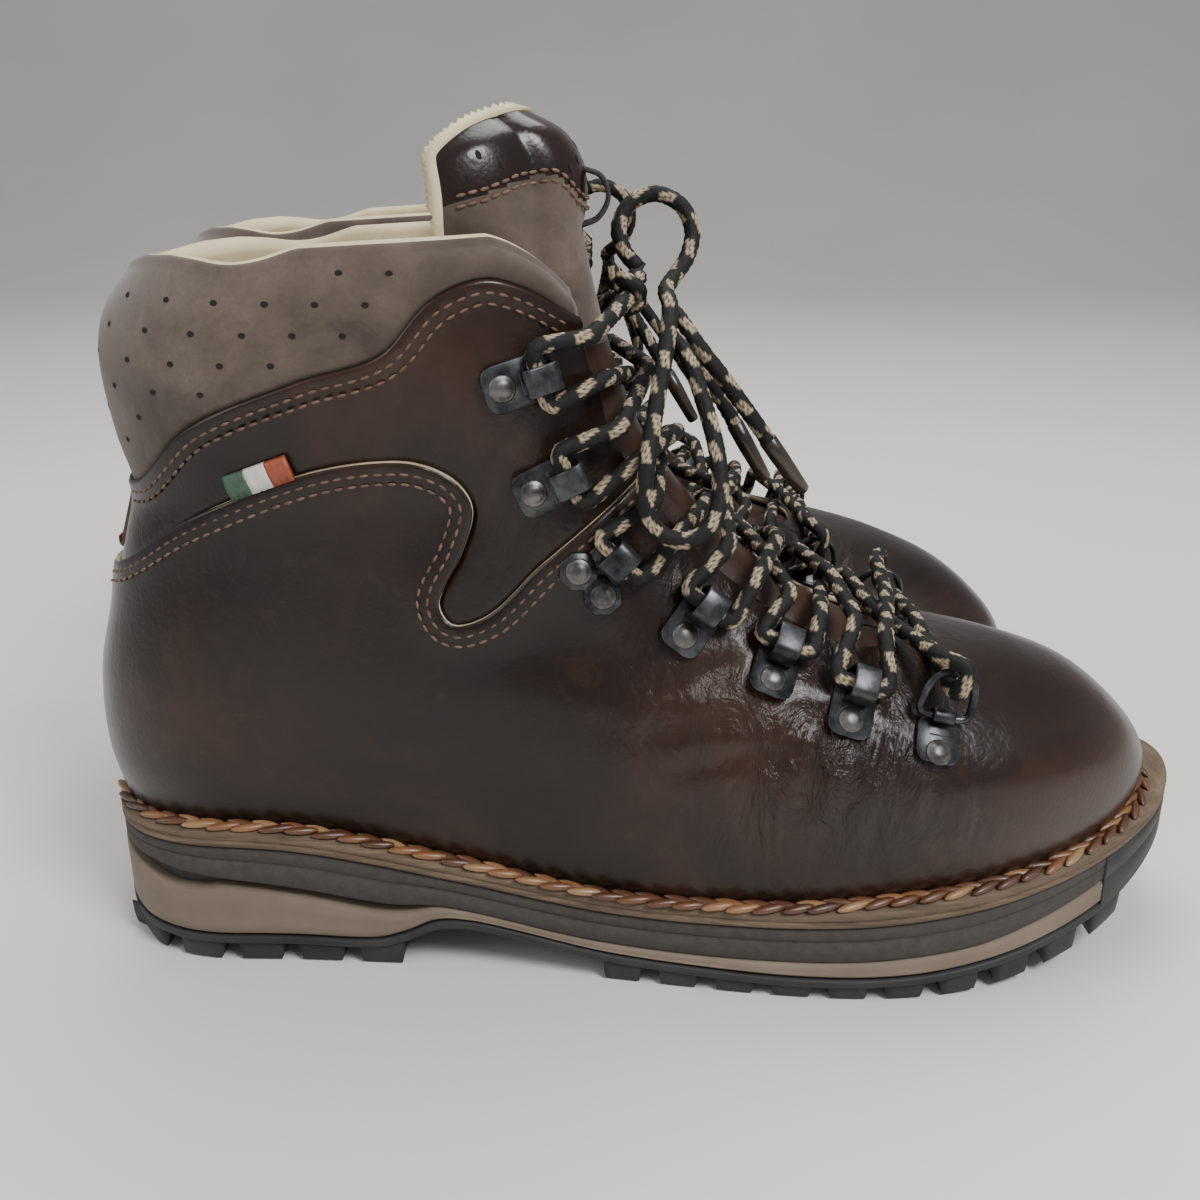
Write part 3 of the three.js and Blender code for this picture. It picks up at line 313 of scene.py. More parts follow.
class Nodes:
    """A short way to write a procedural material."""

    def __init__(self, name, roughness=0.5, metallic=0.0, **sockets):
        self.material = bpy.data.materials.new(name)
        self.material.use_nodes = True
        self.tree = self.material.node_tree
        self.shader = self.tree.nodes["Principled BSDF"]
        self.shader.inputs["Roughness"].default_value = roughness
        self.shader.inputs["Metallic"].default_value = metallic
        for socket, value in sockets.items():
            self.shader.inputs[socket.replace("_", " ")].default_value = value
        self.place = self.tree.nodes.new("ShaderNodeTexCoord").outputs["Object"]

    def add(self, kind, inputs=None, **settings):
        node = self.tree.nodes.new(kind)
        for key, value in settings.items():
            setattr(node, key, value)
        for key, value in (inputs or {}).items():
            if isinstance(value, bpy.types.NodeSocket):
                self.tree.links.new(value, node.inputs[key])
            else:
                node.inputs[key].default_value = value
        return node

    def noise(self, scale, detail=3.0, roughness=0.5, distortion=0.0, stretch=None):
        place = self.place
        if stretch:
            place = self.add("ShaderNodeMapping", {"Vector": place, "Scale": stretch}).outputs[0]
        return self.add("ShaderNodeTexNoise", {
            "Vector": place, "Scale": scale, "Detail": detail, "Roughness": roughness,
            "Distortion": distortion}).outputs["Fac"]

    def cells(self, scale, feature="F1"):
        return self.add("ShaderNodeTexVoronoi", {"Vector": self.place, "Scale": scale},
                        feature=feature).outputs["Distance"]

    def ramp(self, value, stops):
        node = self.add("ShaderNodeValToRGB", {"Fac": value})
        elements = node.color_ramp.elements
        while len(elements) < len(stops):
            elements.new(0.5)
        for element, (at, colour) in zip(elements, stops):
            element.position = at
            element.color = (*colour, 1) if len(colour) == 3 else colour
        return node.outputs["Color"]

    def mix(self, factor, a, b, blend="MIX"):
        node = self.add("ShaderNodeMix", data_type="RGBA", blend_type=blend)
        for key, value in ((0, factor), (6, a), (7, b)):
            if isinstance(value, bpy.types.NodeSocket):
                self.tree.links.new(value, node.inputs[key])
            elif key == 0:
                node.inputs[key].default_value = value
            else:
                node.inputs[key].default_value = (*value, 1)
        return node.outputs[2]

    def span(self, value, low, high):
        return self.add("ShaderNodeMapRange", {
            "Value": value, "To Min": low, "To Max": high}).outputs["Result"]

    def attribute(self, name):
        return self.add("ShaderNodeAttribute", attribute_name=name).outputs["Fac"]

    def colour(self, value):
        if isinstance(value, bpy.types.NodeSocket):
            self.tree.links.new(value, self.shader.inputs["Base Color"])
        else:
            self.shader.inputs["Base Color"].default_value = (*value, 1)
        return self

    def rough(self, value):
        self.tree.links.new(value, self.shader.inputs["Roughness"])
        return self

    def bumps(self, *layers):
        """Bump from (height, distance in mm) layers."""
        normal = None
        for height, distance in layers:
            inputs = {"Height": height, "Distance": distance * MM, "Strength": 1.0}
            if normal:
                inputs["Normal"] = normal
            normal = self.add("ShaderNodeBump", inputs).outputs["Normal"]
        self.tree.links.new(normal, self.shader.inputs["Normal"])
        return self


def leather_material(name, dark, middle, light, rough):
    """Oiled leather: darker where it is oiled, lighter where it is pulled or rubbed."""
    n = Nodes(name, Coat_Weight=0.14, Coat_Roughness=0.14, Specular_IOR_Level=0.34)
    cloud = n.noise(11, 5, 0.62, 0.5)
    colour = n.ramp(cloud, [(0.36, dark), (0.54, middle), (0.72, light)])
    fine = n.noise(240, 3, 0.6)
    colour = n.mix(n.span(fine, 0, 0.45), colour, dark)
    rubbed = n.attribute("rub")
    scuff = n.ramp(n.noise(70, 6, 0.75, 0.8), [(0.6, (0, 0, 0)), (0.7, (1, 1, 1))])
    colour = n.mix(n.span(scuff, 0, 0.35), colour, light)
    n.colour(n.mix(rubbed, colour, light))
    n.rough(n.span(n.noise(35, 4, 0.65), rough - 0.1, rough + 0.16))
    flex = n.attribute("flex")
    lines = n.noise(95, 5, 0.62, 1.1, stretch=(1.0, 0.7, 0.42))
    folds = n.noise(34, 3, 0.5, 1.3, stretch=(1.25, 0.8, 0.5))
    still = (0.5, 0.5, 0.5)
    n.bumps((n.mix(flex, still, folds), 9.0), (n.mix(flex, still, lines), 4.5),
            (n.cells(900, "SMOOTH_F1"), 0.05), (n.noise(1500, 2), 0.03), (n.noise(60, 4), 0.16))
    return n.material


def nubuck_material(name, dark, light):
    n = Nodes(name, Sheen_Weight=0.25, Sheen_Roughness=0.5, Specular_IOR_Level=0.25)
    patches = n.noise(28, 5, 0.65, 0.6)
    colour = n.ramp(patches, [(0.32, dark), (0.68, light)])
    n.colour(n.mix(n.span(n.noise(900, 2), 0, 0.45), colour, dark))
    n.rough(n.span(n.noise(90, 3), 0.68, 0.95))
    n.bumps((n.noise(1800, 3, 0.7), 0.06), (n.noise(120, 4), 0.12))
    return n.material


def plain_material(name, dark, light, rough, scale=60, bump=0.08, bump_scale=700, **sockets):
    n = Nodes(name, **sockets)
    n.colour(n.ramp(n.noise(scale, 4, 0.6), [(0.3, dark), (0.7, light)]))
    n.rough(n.span(n.noise(scale * 2.5, 3), rough - 0.08, rough + 0.1))
    n.bumps((n.noise(bump_scale, 3, 0.6), bump))
    return n.material


def welt_material():
    """The cut edge of stacked, waxed leather: long fibres in layers."""
    n = Nodes("welt_edge", Specular_IOR_Level=0.35)
    fibre = n.noise(420, 5, 0.7, 0.5, stretch=(0.12, 0.12, 1.6))
    colour = n.ramp(fibre, [(0.3, (0.05, 0.034, 0.022)), (0.55, (0.17, 0.12, 0.078)),
                            (0.8, (0.3, 0.23, 0.155))])
    n.colour(n.mix(n.span(n.noise(45, 4), 0, 0.7), colour, (0.1, 0.068, 0.044)))
    n.rough(n.span(fibre, 0.6, 0.9))
    n.bumps((fibre, 0.35), (n.noise(900, 3), 0.12))
    return n.material


def lace_material():
    """Round braid: the weave is modelled, and the flecks are an attribute of the mesh. The grooves between
    the strands are painted near black: painted shade.
    """
    n = Nodes("lace_braid", Specular_IOR_Level=0.3)
    fleck = n.attribute("fleck")
    groove = n.attribute("groove")
    colour = n.mix(fleck, (0.0075, 0.0075, 0.008), (0.42, 0.33, 0.22))
    # painted shade: the grooves between the strands are darkened to near black
    n.colour(n.mix(groove, colour, (0.004, 0.004, 0.004)))
    n.rough(n.span(n.noise(900, 2), 0.6, 0.85))
    n.bumps((n.noise(2600, 2), 0.05))
    return n.material


def metal_material(name, dark, light, rough):
    n = Nodes(name, metallic=0.9)
    wear = n.noise(180, 5, 0.7)
    n.colour(n.ramp(wear, [(0.35, dark), (0.75, light)]))
    n.rough(n.span(n.noise(420, 4), rough - 0.08, rough + 0.14))
    n.bumps((n.noise(700, 3), 0.03))
    return n.material


def waxed_thread_material():
    n = Nodes("welt_thread", Coat_Weight=0.35, Coat_Roughness=0.25)
    tint = n.attribute("tint")
    colour = n.ramp(tint, [(0.0, (0.035, 0.011, 0.006)), (0.45, (0.13, 0.045, 0.016)),
                           (0.75, (0.3, 0.13, 0.045)), (1.0, (0.42, 0.26, 0.12))])
    fibre = n.noise(1100, 3, 0.6)
    n.colour(n.mix(n.span(fibre, 0, 0.55), colour, (0.07, 0.024, 0.012)))
    n.rough(n.span(fibre, 0.3, 0.55))
    n.bumps((n.noise(1500, 3, 0.6), 0.12))
    return n.material


DARK, MIDDLE, LIGHT = (0.006, 0.0027, 0.0017), (0.0165, 0.0068, 0.0038), (0.052, 0.02, 0.0095)
LEATHER_BROWN = leather_material("leather_brown", DARK, MIDDLE, LIGHT, 0.3)
CAP_LEATHER = leather_material("leather_cap", (0.008, 0.004, 0.003), (0.02, 0.009, 0.006),
                               (0.05, 0.022, 0.013), 0.25)
GUSSET = leather_material("leather_gusset", (0.02, 0.008, 0.005), (0.05, 0.02, 0.011),
                          (0.1, 0.042, 0.024), 0.45)
STRIP_LEATHER = leather_material("leather_strip", (0.06, 0.032, 0.018), (0.12, 0.07, 0.04),
                                 (0.2, 0.13, 0.08), 0.45)
NUBUCK = nubuck_material("nubuck_taupe", (0.05, 0.036, 0.028), (0.165, 0.124, 0.097))
CREAM = plain_material("lining_cream", (0.5, 0.41, 0.24), (0.68, 0.58, 0.37), 0.6, bump=0.1)
CUT_EDGE = plain_material("leather_cut_edge", (0.36, 0.27, 0.17), (0.68, 0.58, 0.42), 0.75)
DARK_EDGE = plain_material("leather_dark_edge", (0.02, 0.01, 0.007), (0.05, 0.026, 0.016), 0.5)
THREAD = plain_material("seam_thread", (0.08, 0.038, 0.025), (0.2, 0.11, 0.075), 0.6, 400)
WELT_THREAD = waxed_thread_material()
WELT_EDGE = welt_material()
MIDSOLE_GREY = plain_material("midsole_grey", (0.04, 0.035, 0.031), (0.058, 0.051, 0.045), 0.85,
                              420, 0.12, 1600)
WEDGE_TAUPE = plain_material("wedge_taupe", (0.14, 0.105, 0.075), (0.22, 0.17, 0.125), 0.72,
                             26, 0.06, 1400)
RUBBER = plain_material("lug_rubber", (0.011, 0.011, 0.012), (0.03, 0.03, 0.031), 0.6, 40, 0.08)
GUNMETAL = metal_material("gunmetal", (0.022, 0.023, 0.025), (0.11, 0.113, 0.118), 0.34)
RIVET_METAL = metal_material("rivet_pewter", (0.06, 0.058, 0.055), (0.24, 0.23, 0.215), 0.38)
BRAID = lace_material()
WEBBING = plain_material("loop_webbing", (0.012, 0.01, 0.009), (0.05, 0.04, 0.032), 0.8, 900, 0.3)
# painted shade: a near black colour for the collar's holes and the cap's nicks, standing for the shade inside
# them
HOLE_SHADE = plain_material("perforation_shade", (0.004, 0.003, 0.003), (0.01, 0.008, 0.007), 0.9)
FELT = plain_material("footbed_felt", (0.03, 0.03, 0.034), (0.09, 0.09, 0.1), 0.95, 300, 0.3, 900)
BOARD = plain_material("board_fibre", (0.2, 0.13, 0.08), (0.36, 0.25, 0.16), 0.85, 200)
AGLET = plain_material("aglet_plastic", (0.01, 0.008, 0.006), (0.05, 0.035, 0.025), 0.25)
TAB_GREEN = plain_material("tab_olive", (0.03, 0.06, 0.035), (0.05, 0.1, 0.055), 0.45, 300)
TAB_WHITE = plain_material("tab_ivory", (0.5, 0.48, 0.42), (0.66, 0.63, 0.56), 0.45, 300)
TAB_RUST = plain_material("tab_rust", (0.25, 0.05, 0.02), (0.36, 0.08, 0.035), 0.45, 300)


# ------------------------------------------------------------------ meshes

class Shape:
    """Points and faces in the boot's frame, with a material number for each face."""

    def __init__(self):
        self.points = []
        self.faces = []
        self.slots = []
        self.values = {}
        self.count = 0

    def add(self, points, faces, slot=0, **values):
        points = np.asarray(points, float).reshape(-1, 3)
        self.points.append(points)
        self.faces += [tuple(int(i) + self.count for i in face) for face in faces]
        self.slots += [slot] * len(faces) if isinstance(slot, int) else list(slot)
        for key, value in values.items():
            column = self.values.setdefault(key, [])
            column.append(np.broadcast_to(np.asarray(value, float), len(points)))
        self.count += len(points)
        return self


def put(name, shape, materials, body="boot", replaces=(), flat=False):
    """Makes a piece for each boot, and returns the two."""
    made = {}
    points = np.concatenate(shape.points)
    for boot, (_, mirror) in BOOTS.items():
        mesh = bpy.data.meshes.new(f"{boot}_{name}")
        faces = shape.faces if mirror > 0 else [face[::-1] for face in shape.faces]
        mesh.from_pydata(to_world(points, boot).tolist(), [], faces)
        for material in materials:
            mesh.materials.append(material)
        mesh.polygons.foreach_set("material_index", shape.slots)
        mesh.polygons.foreach_set("use_smooth", [not flat] * len(faces))
        for key, columns in shape.values.items():
            layer = mesh.attributes.new(key, "FLOAT", "POINT")
            layer.data.foreach_set("value", np.concatenate(columns).astype(np.float32))
        mesh.update()
        piece = bpy.data.objects.new(f"{boot}_{name}", mesh)
        bpy.context.scene.collection.objects.link(piece)
        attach(piece, f"{boot}_{body}")
        if replaces:
            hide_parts(*[f"{boot}_{node}" for node in replaces])
        made[boot] = piece
    return made


def grid_faces(rows, columns, is_ring=False, is_loop=False):
    """Quads between rows of points; a ring joins its last column to its first."""
    faces = []
    for i in range(rows if is_loop else rows - 1):
        below, above = i * columns, ((i + 1) % rows) * columns
        for j in range(columns if is_ring else columns - 1):
            k = (j + 1) % columns
            faces.append((below + j, below + k, above + k, above + j))
    return faces


def outward(points, faces):
    """The faces, turned over if they face in."""
    points = np.asarray(points, float).reshape(-1, 3)
    volume = 0.0
    for face in faces:
        corners = points[list(face)]
        for i in range(1, len(face) - 1):
            volume += np.dot(corners[0], np.cross(corners[i], corners[i + 1]))
    return faces if volume > 0 else [tuple(face[::-1]) for face in faces]


def closed_stack(sections):
    """A closed body from rings of points, its two ends closed by one face each."""
    sections = np.asarray(sections, float)
    rows, columns = sections.shape[:2]
    faces = grid_faces(rows, columns, is_ring=True)
    faces.append(tuple(range(columns))[::-1])
    faces.append(tuple(range((rows - 1) * columns, rows * columns)))
    points = sections.reshape(-1, 3)
    return points, outward(points, faces)


def frames_along(points, is_loop=False):
    """Two axes across a line at each of its points, that don't twist."""
    points = np.asarray(points, float)
    if is_loop:
        tangent = unit(np.roll(points, -1, 0) - np.roll(points, 1, 0))
    else:
        tangent = unit(np.gradient(points, axis=0))
    first = np.cross(tangent[0], [0.3, 0.2, 1])
    side = [unit(first)]
    for t in tangent[1:]:
        last = side[-1]
        side.append(unit(last - t * np.dot(last, t)))
    side = np.array(side)
    return side, np.cross(tangent, side)


def swept(line, radius, is_loop=False):
    """A closed body along a line; radius has a row for each point and a column for each side."""
    side, up = frames_along(line, is_loop)
    angle = 2 * np.pi * np.arange(radius.shape[1]) / radius.shape[1]
    ring = side[:, None] * np.cos(angle)[None, :, None] + up[:, None] * np.sin(angle)[None, :, None]
    sections = line[:, None] + ring * radius[..., None]
    if not is_loop:
        return closed_stack(sections)
    points = sections.reshape(-1, 3)
    faces = grid_faces(len(line), radius.shape[1], is_ring=True, is_loop=True)
    return points, outward(points, faces)


def tube(line, radius, sides=12, is_loop=False):
    """A round tube along a line; radius may differ along it."""
    radius = np.broadcast_to(np.asarray(radius, float), len(line))
    return swept(np.asarray(line, float), np.repeat(radius[:, None], sides, 1), is_loop)


def spheroid(rings=6, sides=8):
    """A unit sphere: points and faces."""
    rows = []
    for i in range(rings + 1):
        turn = math.pi * (0.5 + i) / (rings + 1)
        for j in range(sides):
            angle = 2 * math.pi * j / sides
            rows.append([math.sin(turn) * math.cos(angle), math.sin(turn) * math.sin(angle),
                         math.cos(turn)])
    points = np.array(rows).reshape(rings + 1, sides, 3)
    points[0] *= [0.6, 0.6, 1.0]
    points[-1] *= [0.6, 0.6, 1.0]
    return closed_stack(points)


def beads(shape, centres, axes, slot=0, kind=None, **values):
    """Copies of a spheroid: each has a centre and three axes of its own size."""
    points, faces = kind or spheroid()
    for i, (centre, axis) in enumerate(zip(centres, axes)):
        own = {key: column[i] for key, column in values.items()}
        shape.add(points @ np.asarray(axis) + centre, faces, slot, **own)


# ------------------------------------------------------------------ leather panels

WIDE = 330.0  # about how long one unit of a and of v is, in mm
TALL = 175.0
SEAM_LIP = 1.65  # how far the vamp's edge stands up at its seam
SEAM_LIP_REACH = 9
COLLAR_ROLL = 1.5  # the quarter's rolled edge under the collar
COLLAR_ROLL_REACH = 4.5
SEAM_ROWS = (-3.0, -5.6)
COLLAR_ROWS = (-3.2, -5.8)


def inside(points, loop):
    """Which 2-D points lie inside a closed loop."""
    x, y = points.T
    hit = np.zeros(len(points), bool)
    for (x0, y0), (x1, y1) in zip(loop, np.roll(loop, -1, axis=0)):
        if y0 == y1:
            continue
        crosses = (y0 > y) != (y1 > y)
        hit ^= crosses & (x < (x1 - x0) * (y - y0) / (y1 - y0) + x0)
    return hit


def line_tree(points):
    """A tree that finds the nearest of a line's points."""
    tree = KDTree(len(points))
    for i, point in enumerate(points):
        tree.insert(point, i)
    tree.balance()
    return tree


def distances(points, tree):
    return np.array([tree.find(point)[2] for point in points])


def panel(outline, rise, thick, spacing=2.6):
    """A leather panel: a region of the skin with a rounded cut edge.

    outline is a closed loop of (a, v), anticlockwise. rise(points, v) is the height of its
    face over the skin. Returns a Shape whose slots are 0 for the faces and 1 for the edge.
    """
    flat = even(np.vstack([outline, outline[:1]]) * [WIDE, TALL], 1.6)[:-1]
    count = len(flat)
    along = unit(np.roll(flat, -1, 0) - np.roll(flat, 1, 0))
    ring = flat + np.column_stack([-along[:, 1], along[:, 0]]) * 0.9
    tree = line_tree(np.column_stack([flat, np.zeros(count)]))
    low, high = flat.min(0), flat.max(0)
    xs = np.arange(low[0], high[0], spacing)
    ys = np.arange(low[1], high[1], spacing * 0.87)
    cells = np.array([(x + (0.5 * spacing if j % 2 else 0), y) for j, y in enumerate(ys) for x in xs])
    cells = cells[inside(cells, flat)]
    far = distances(np.column_stack([cells, np.zeros(len(cells))]), tree) > 2.1
    ring_in = inside(ring, flat) & (distances(np.column_stack([ring, np.zeros(count)]), tree) > 0.7)
    every = np.vstack([flat, ring[ring_in], cells[far]])
    edges = [(i, (i + 1) % count) for i in range(count)]
    out, _, faces, *_ = delaunay_2d_cdt([Vector(p) for p in every], edges, [], 1, 1e-5)
    flat_out = np.array([(p.x, p.y) for p in out])
    a, v = flat_out[:, 0] / WIDE, np.clip(flat_out[:, 1] / TALL, 0, 1)
    used = {}
    for face in faces:
        for i, j in zip(face, face[1:] + face[:1]):
            used[(i, j)] = True
    rim = [edge for edge in used if edge[::-1] not in used]
    on_rim = np.zeros(len(out), bool)
    on_rim[[i for edge in rim for i in edge]] = True
    ground = skin(a, v)
    height = rise(ground, v)
    outer = on_skin(a, v, height - 0.4 * on_rim)
    inner = on_skin(a, v, height - thick)
    total = len(out)
    shape = Shape()
    sheet = [tuple(face) for face in faces]
    back = [tuple(i + total for i in face[::-1]) for face in sheet]
    wall = [(j, i, i + total, j + total) for i, j in rim]
    rub = np.clip(0.35 * on_rim, 0, 1)
    flex = flexed(ground)
    shape.add(np.vstack([outer, inner]), sheet + back + wall,
              [0] * (len(sheet) + len(back)) + [1] * len(wall),
              rub=np.concatenate([rub, rub]), flex=np.concatenate([flex, flex]))
    return shape


def seam_places(seam, side):
    """A seam in side view as (a, v) places on one side of the boot."""
    line = even(route(seam)(np.linspace(0, 1, 400)), 1.5)
    xb = slice_ends(find_side(line[:, 0], line[:, 1])[1])[0]
    line = line[line[:, 0] > xb + 0.05]
    s, v = find_side(line[:, 0], line[:, 1])
    return np.column_stack([round_place(s, side), v])


def throat_places(side):
    """The throat's edge on one side, from its toe end up to the rim."""
    centre = THROAT_END - THROAT_HALF_WIDTH
    turn = np.linspace(0.02, math.pi / 2, 16)
    x = centre + THROAT_HALF_WIDTH * np.cos(turn)
    across = THROAT_HALF_WIDTH * np.sin(turn)
    v_end = find_plan(x, across)
    s_end = step_at(v_end, x)
    v_up = np.linspace(v_end[-1], 1, 60)[1:]
    s_up = find_across(v_up, THROAT_HALF_WIDTH)
    s, v = np.concatenate([s_end, s_up]), np.concatenate([v_end, v_up])
    return np.column_stack([round_place(s, side), v])


def cut_at(line, other):
    """The part of a line before it first crosses another one, and where on the other."""
    for i in range(len(line) - 1):
        p, r = line[i], line[i + 1] - line[i]
        q, s = other[:-1], other[1:] - other[:-1]
        cross = r[0] * s[:, 1] - r[1] * s[:, 0]
        cross = np.where(np.abs(cross) < 1e-15, 1e-15, cross)
        t = ((q - p)[:, 0] * s[:, 1] - (q - p)[:, 1] * s[:, 0]) / cross
        u = ((q - p)[:, 0] * r[1] - (q - p)[:, 1] * r[0]) / cross
        hits = np.where((t >= 0) & (t <= 1) & (u >= 0) & (u <= 1))[0]
        if len(hits):
            return np.vstack([line[:i + 1], p + r * t[hits[0]]]), hits[0]
    raise ValueError("these lines don't cross")


# Creases of the vamp where the foot flexes, in side view: from, to, depth and half width.
CREASES = [
    ((206, 84), (196, 58), 1.7, 2.6), ((199, 86), (182, 70), 1.3, 2.4), ((214, 80), (207, 52), 1.5, 2.8),
    ((222, 76), (219, 48), 1.1, 3.0), ((190, 78), (164, 70), 1.1, 2.8), ((204, 64), (184, 46), 1.0, 3.2),
    ((231, 72), (233, 50), 0.8, 3.0), ((180, 96), (158, 90), 0.9, 2.8), ((194, 56), (166, 48), 0.7, 3.6),
    ((210, 68), (200, 50), 0.9, 2.4), ((216, 62), (213, 46), 0.8, 2.6), ((240, 68), (246, 50), 0.4, 4.0),
]


# Where the leather creases, in side view: x, z, half length, half height and share.
FLEX_SPOTS = [
    (202, 70, 30, 26, 1.0), (172, 88, 24, 26, 0.45), (230, 60, 18, 22, 0.4),
    (118, 150, 40, 25, 0.16), (40, 110, 40, 40, 0.06),
]


def flexed(points):
    """How much the leather creases at places: most where the forefoot bends."""
    total = np.zeros(len(points))
    for x, z, wide, tall, share in FLEX_SPOTS:
        away = ((points[:, 0] - x) / wide) ** 2 + ((points[:, 2] - z) / tall) ** 2
        total = np.maximum(total, share * np.exp(-away))
    return total


def crease_depth(points):
    """How deep the creases are at places: a groove with a low ridge beside it."""
    depth = np.zeros(len(points))
    flat = points[:, [0, 2]]
    for start, end, deep, width in CREASES:
        start, end = np.array(start, float), np.array(end, float)
        line = end - start
        t = np.clip(((flat - start) @ line) / (line @ line), 0, 1)
        bow = 2.5 * np.sin(np.pi * t)[:, None] * np.array([0.7, 0.4])
        away = np.linalg.norm(flat - (start + t[:, None] * line + bow), axis=1)
        fade = np.sin(np.pi * np.clip(0.06 + 0.88 * t, 0, 1)) ** 0.6
        groove = np.exp(-(away / width) ** 2) - 0.45 * np.exp(-((away - 2 * width) / width) ** 2)
        depth += deep * fade * groove
    return depth


def waves(points, size, seed):
    """A slow, even unevenness of a surface, about -1 to 1."""
    own = np.random.default_rng(seed)
    total = np.zeros(len(points))
    for _ in range(7):
        direction = unit(own.normal(size=3))
        phase = own.uniform(0, 2 * np.pi)
        total += np.sin(points @ direction * (2 * np.pi / (size * own.uniform(0.7, 1.5))) + phase)
    return total / 3.5


SEAMS = {side: {"vamp": seam_places(VAMP_SEAM, side), "collar": seam_places(COLLAR_SEAM, side),
                "throat": throat_places(side)} for side in (-1, 1)}


def make_vamp():
    """The lower upper, with its heel part: from the welt to the curved seam and the throat."""
    outer, inner = SEAMS[-1], SEAMS[1]
    seam, hit = cut_at(outer["vamp"], outer["throat"])
    far_seam, far_hit = cut_at(inner["vamp"], inner["throat"])
    bottom = np.column_stack([np.linspace(0, 2, 200), np.full(200, 0.002)])
    outline = np.vstack([
        bottom, [[2, far_seam[0, 1]]], far_seam[1:], inner["throat"][:far_hit + 1][::-1],
        outer["throat"][:hit + 1], seam[::-1][:-1], [[0, seam[0, 1]]]])
    lines = np.vstack([skin(*seam.T), skin(*far_seam.T)])
    tree = line_tree(lines)

    def rise(points, v):
        near = distances(points, tree)
        lip = SEAM_LIP * np.exp(-(near / SEAM_LIP_REACH) ** 2)
        swell = 0.35 * waves(points, 60, 3) * ease(v / 0.1)
        return 0.25 + lip + swell - crease_depth(points) * ease((v - 0.05) / 0.1)

    put("vamp_leather", panel(outline, rise, 2.0), [LEATHER_BROWN, CUT_EDGE],
        replaces=["vamp"])
    return seam, far_seam


def make_quarter():
    """The ankle quarter: a panel on each side, between the curved seam and the collar."""
    shape = Shape()
    for side in (-1, 1):
        own = SEAMS[side]
        low_line, low_hit = cut_at(own["vamp"], own["throat"])
        high_line, high_hit = cut_at(own["collar"], own["throat"])
        start = 0.0 if side < 0 else 2.0
        loop = np.vstack([
            [[start, low_line[0, 1]]], low_line[1:] - [0, 0.004],
            own["throat"][low_hit + 1:high_hit + 1], high_line[::-1][:-1],
            [[start, high_line[0, 1]]]])
        if side > 0:
            loop = loop[::-1]
        tree = line_tree(skin(*high_line.T))

        def rise(points, _, tree=tree):
            near = distances(points, tree)
            roll = COLLAR_ROLL * np.exp(-(near / COLLAR_ROLL_REACH) ** 2)
            return 0.1 + roll + 0.3 * waves(points, 50, 9)

        part = panel(loop, rise, 1.8)
        shape.add(part.points[0], part.faces, part.slots, rub=part.values["rub"][0],
                  flex=part.values["flex"][0])
    put("quarter_leather", shape, [LEATHER_BROWN, DARK_EDGE], replaces=["ankle_quarter"])


# ------------------------------------------------------------------ collar, lining, tongue

EDGE_LEVELS = np.linspace(0.3, 1, 300)
EDGE_STEPS = find_across(EDGE_LEVELS, THROAT_HALF_WIDTH)


def edge_step(v):
    """The step of the throat's edge at a level."""
    return np.interp(v, EDGE_LEVELS, EDGE_STEPS)


def levels_under(height):
    """A function from a share of the way from the heel to the throat to a line's level there."""
    shares = np.linspace(0, 1, 240)

    def is_under(v):
        place = skin(shares * edge_step(v), v)
        return place[:, 2] < height(place[:, 0])

    low, _ = halved(np.full(240, 0.45), np.ones(240), is_under)
    return lambda share: np.interp(share, shares, low)


rim_level = levels_under(top_line)
collar_level = levels_under(collar_seam_at)


def collar_face(share, side, fraction):
    """A point of the padded collar's outer face, between its seam and its rim."""
    low, high = collar_level(share), rim_level(share)
    v = low + (high - low) * fraction
    a = round_place(share * edge_step(v), side)
    puff = -0.4 + 3.0 * np.sin(np.pi * np.clip(0.04 + 0.9 * fraction, 0, 1)) ** 0.7
    ends = ease((1 - share) / 0.06)
    return a, v, puff * (0.35 + 0.65 * ends)


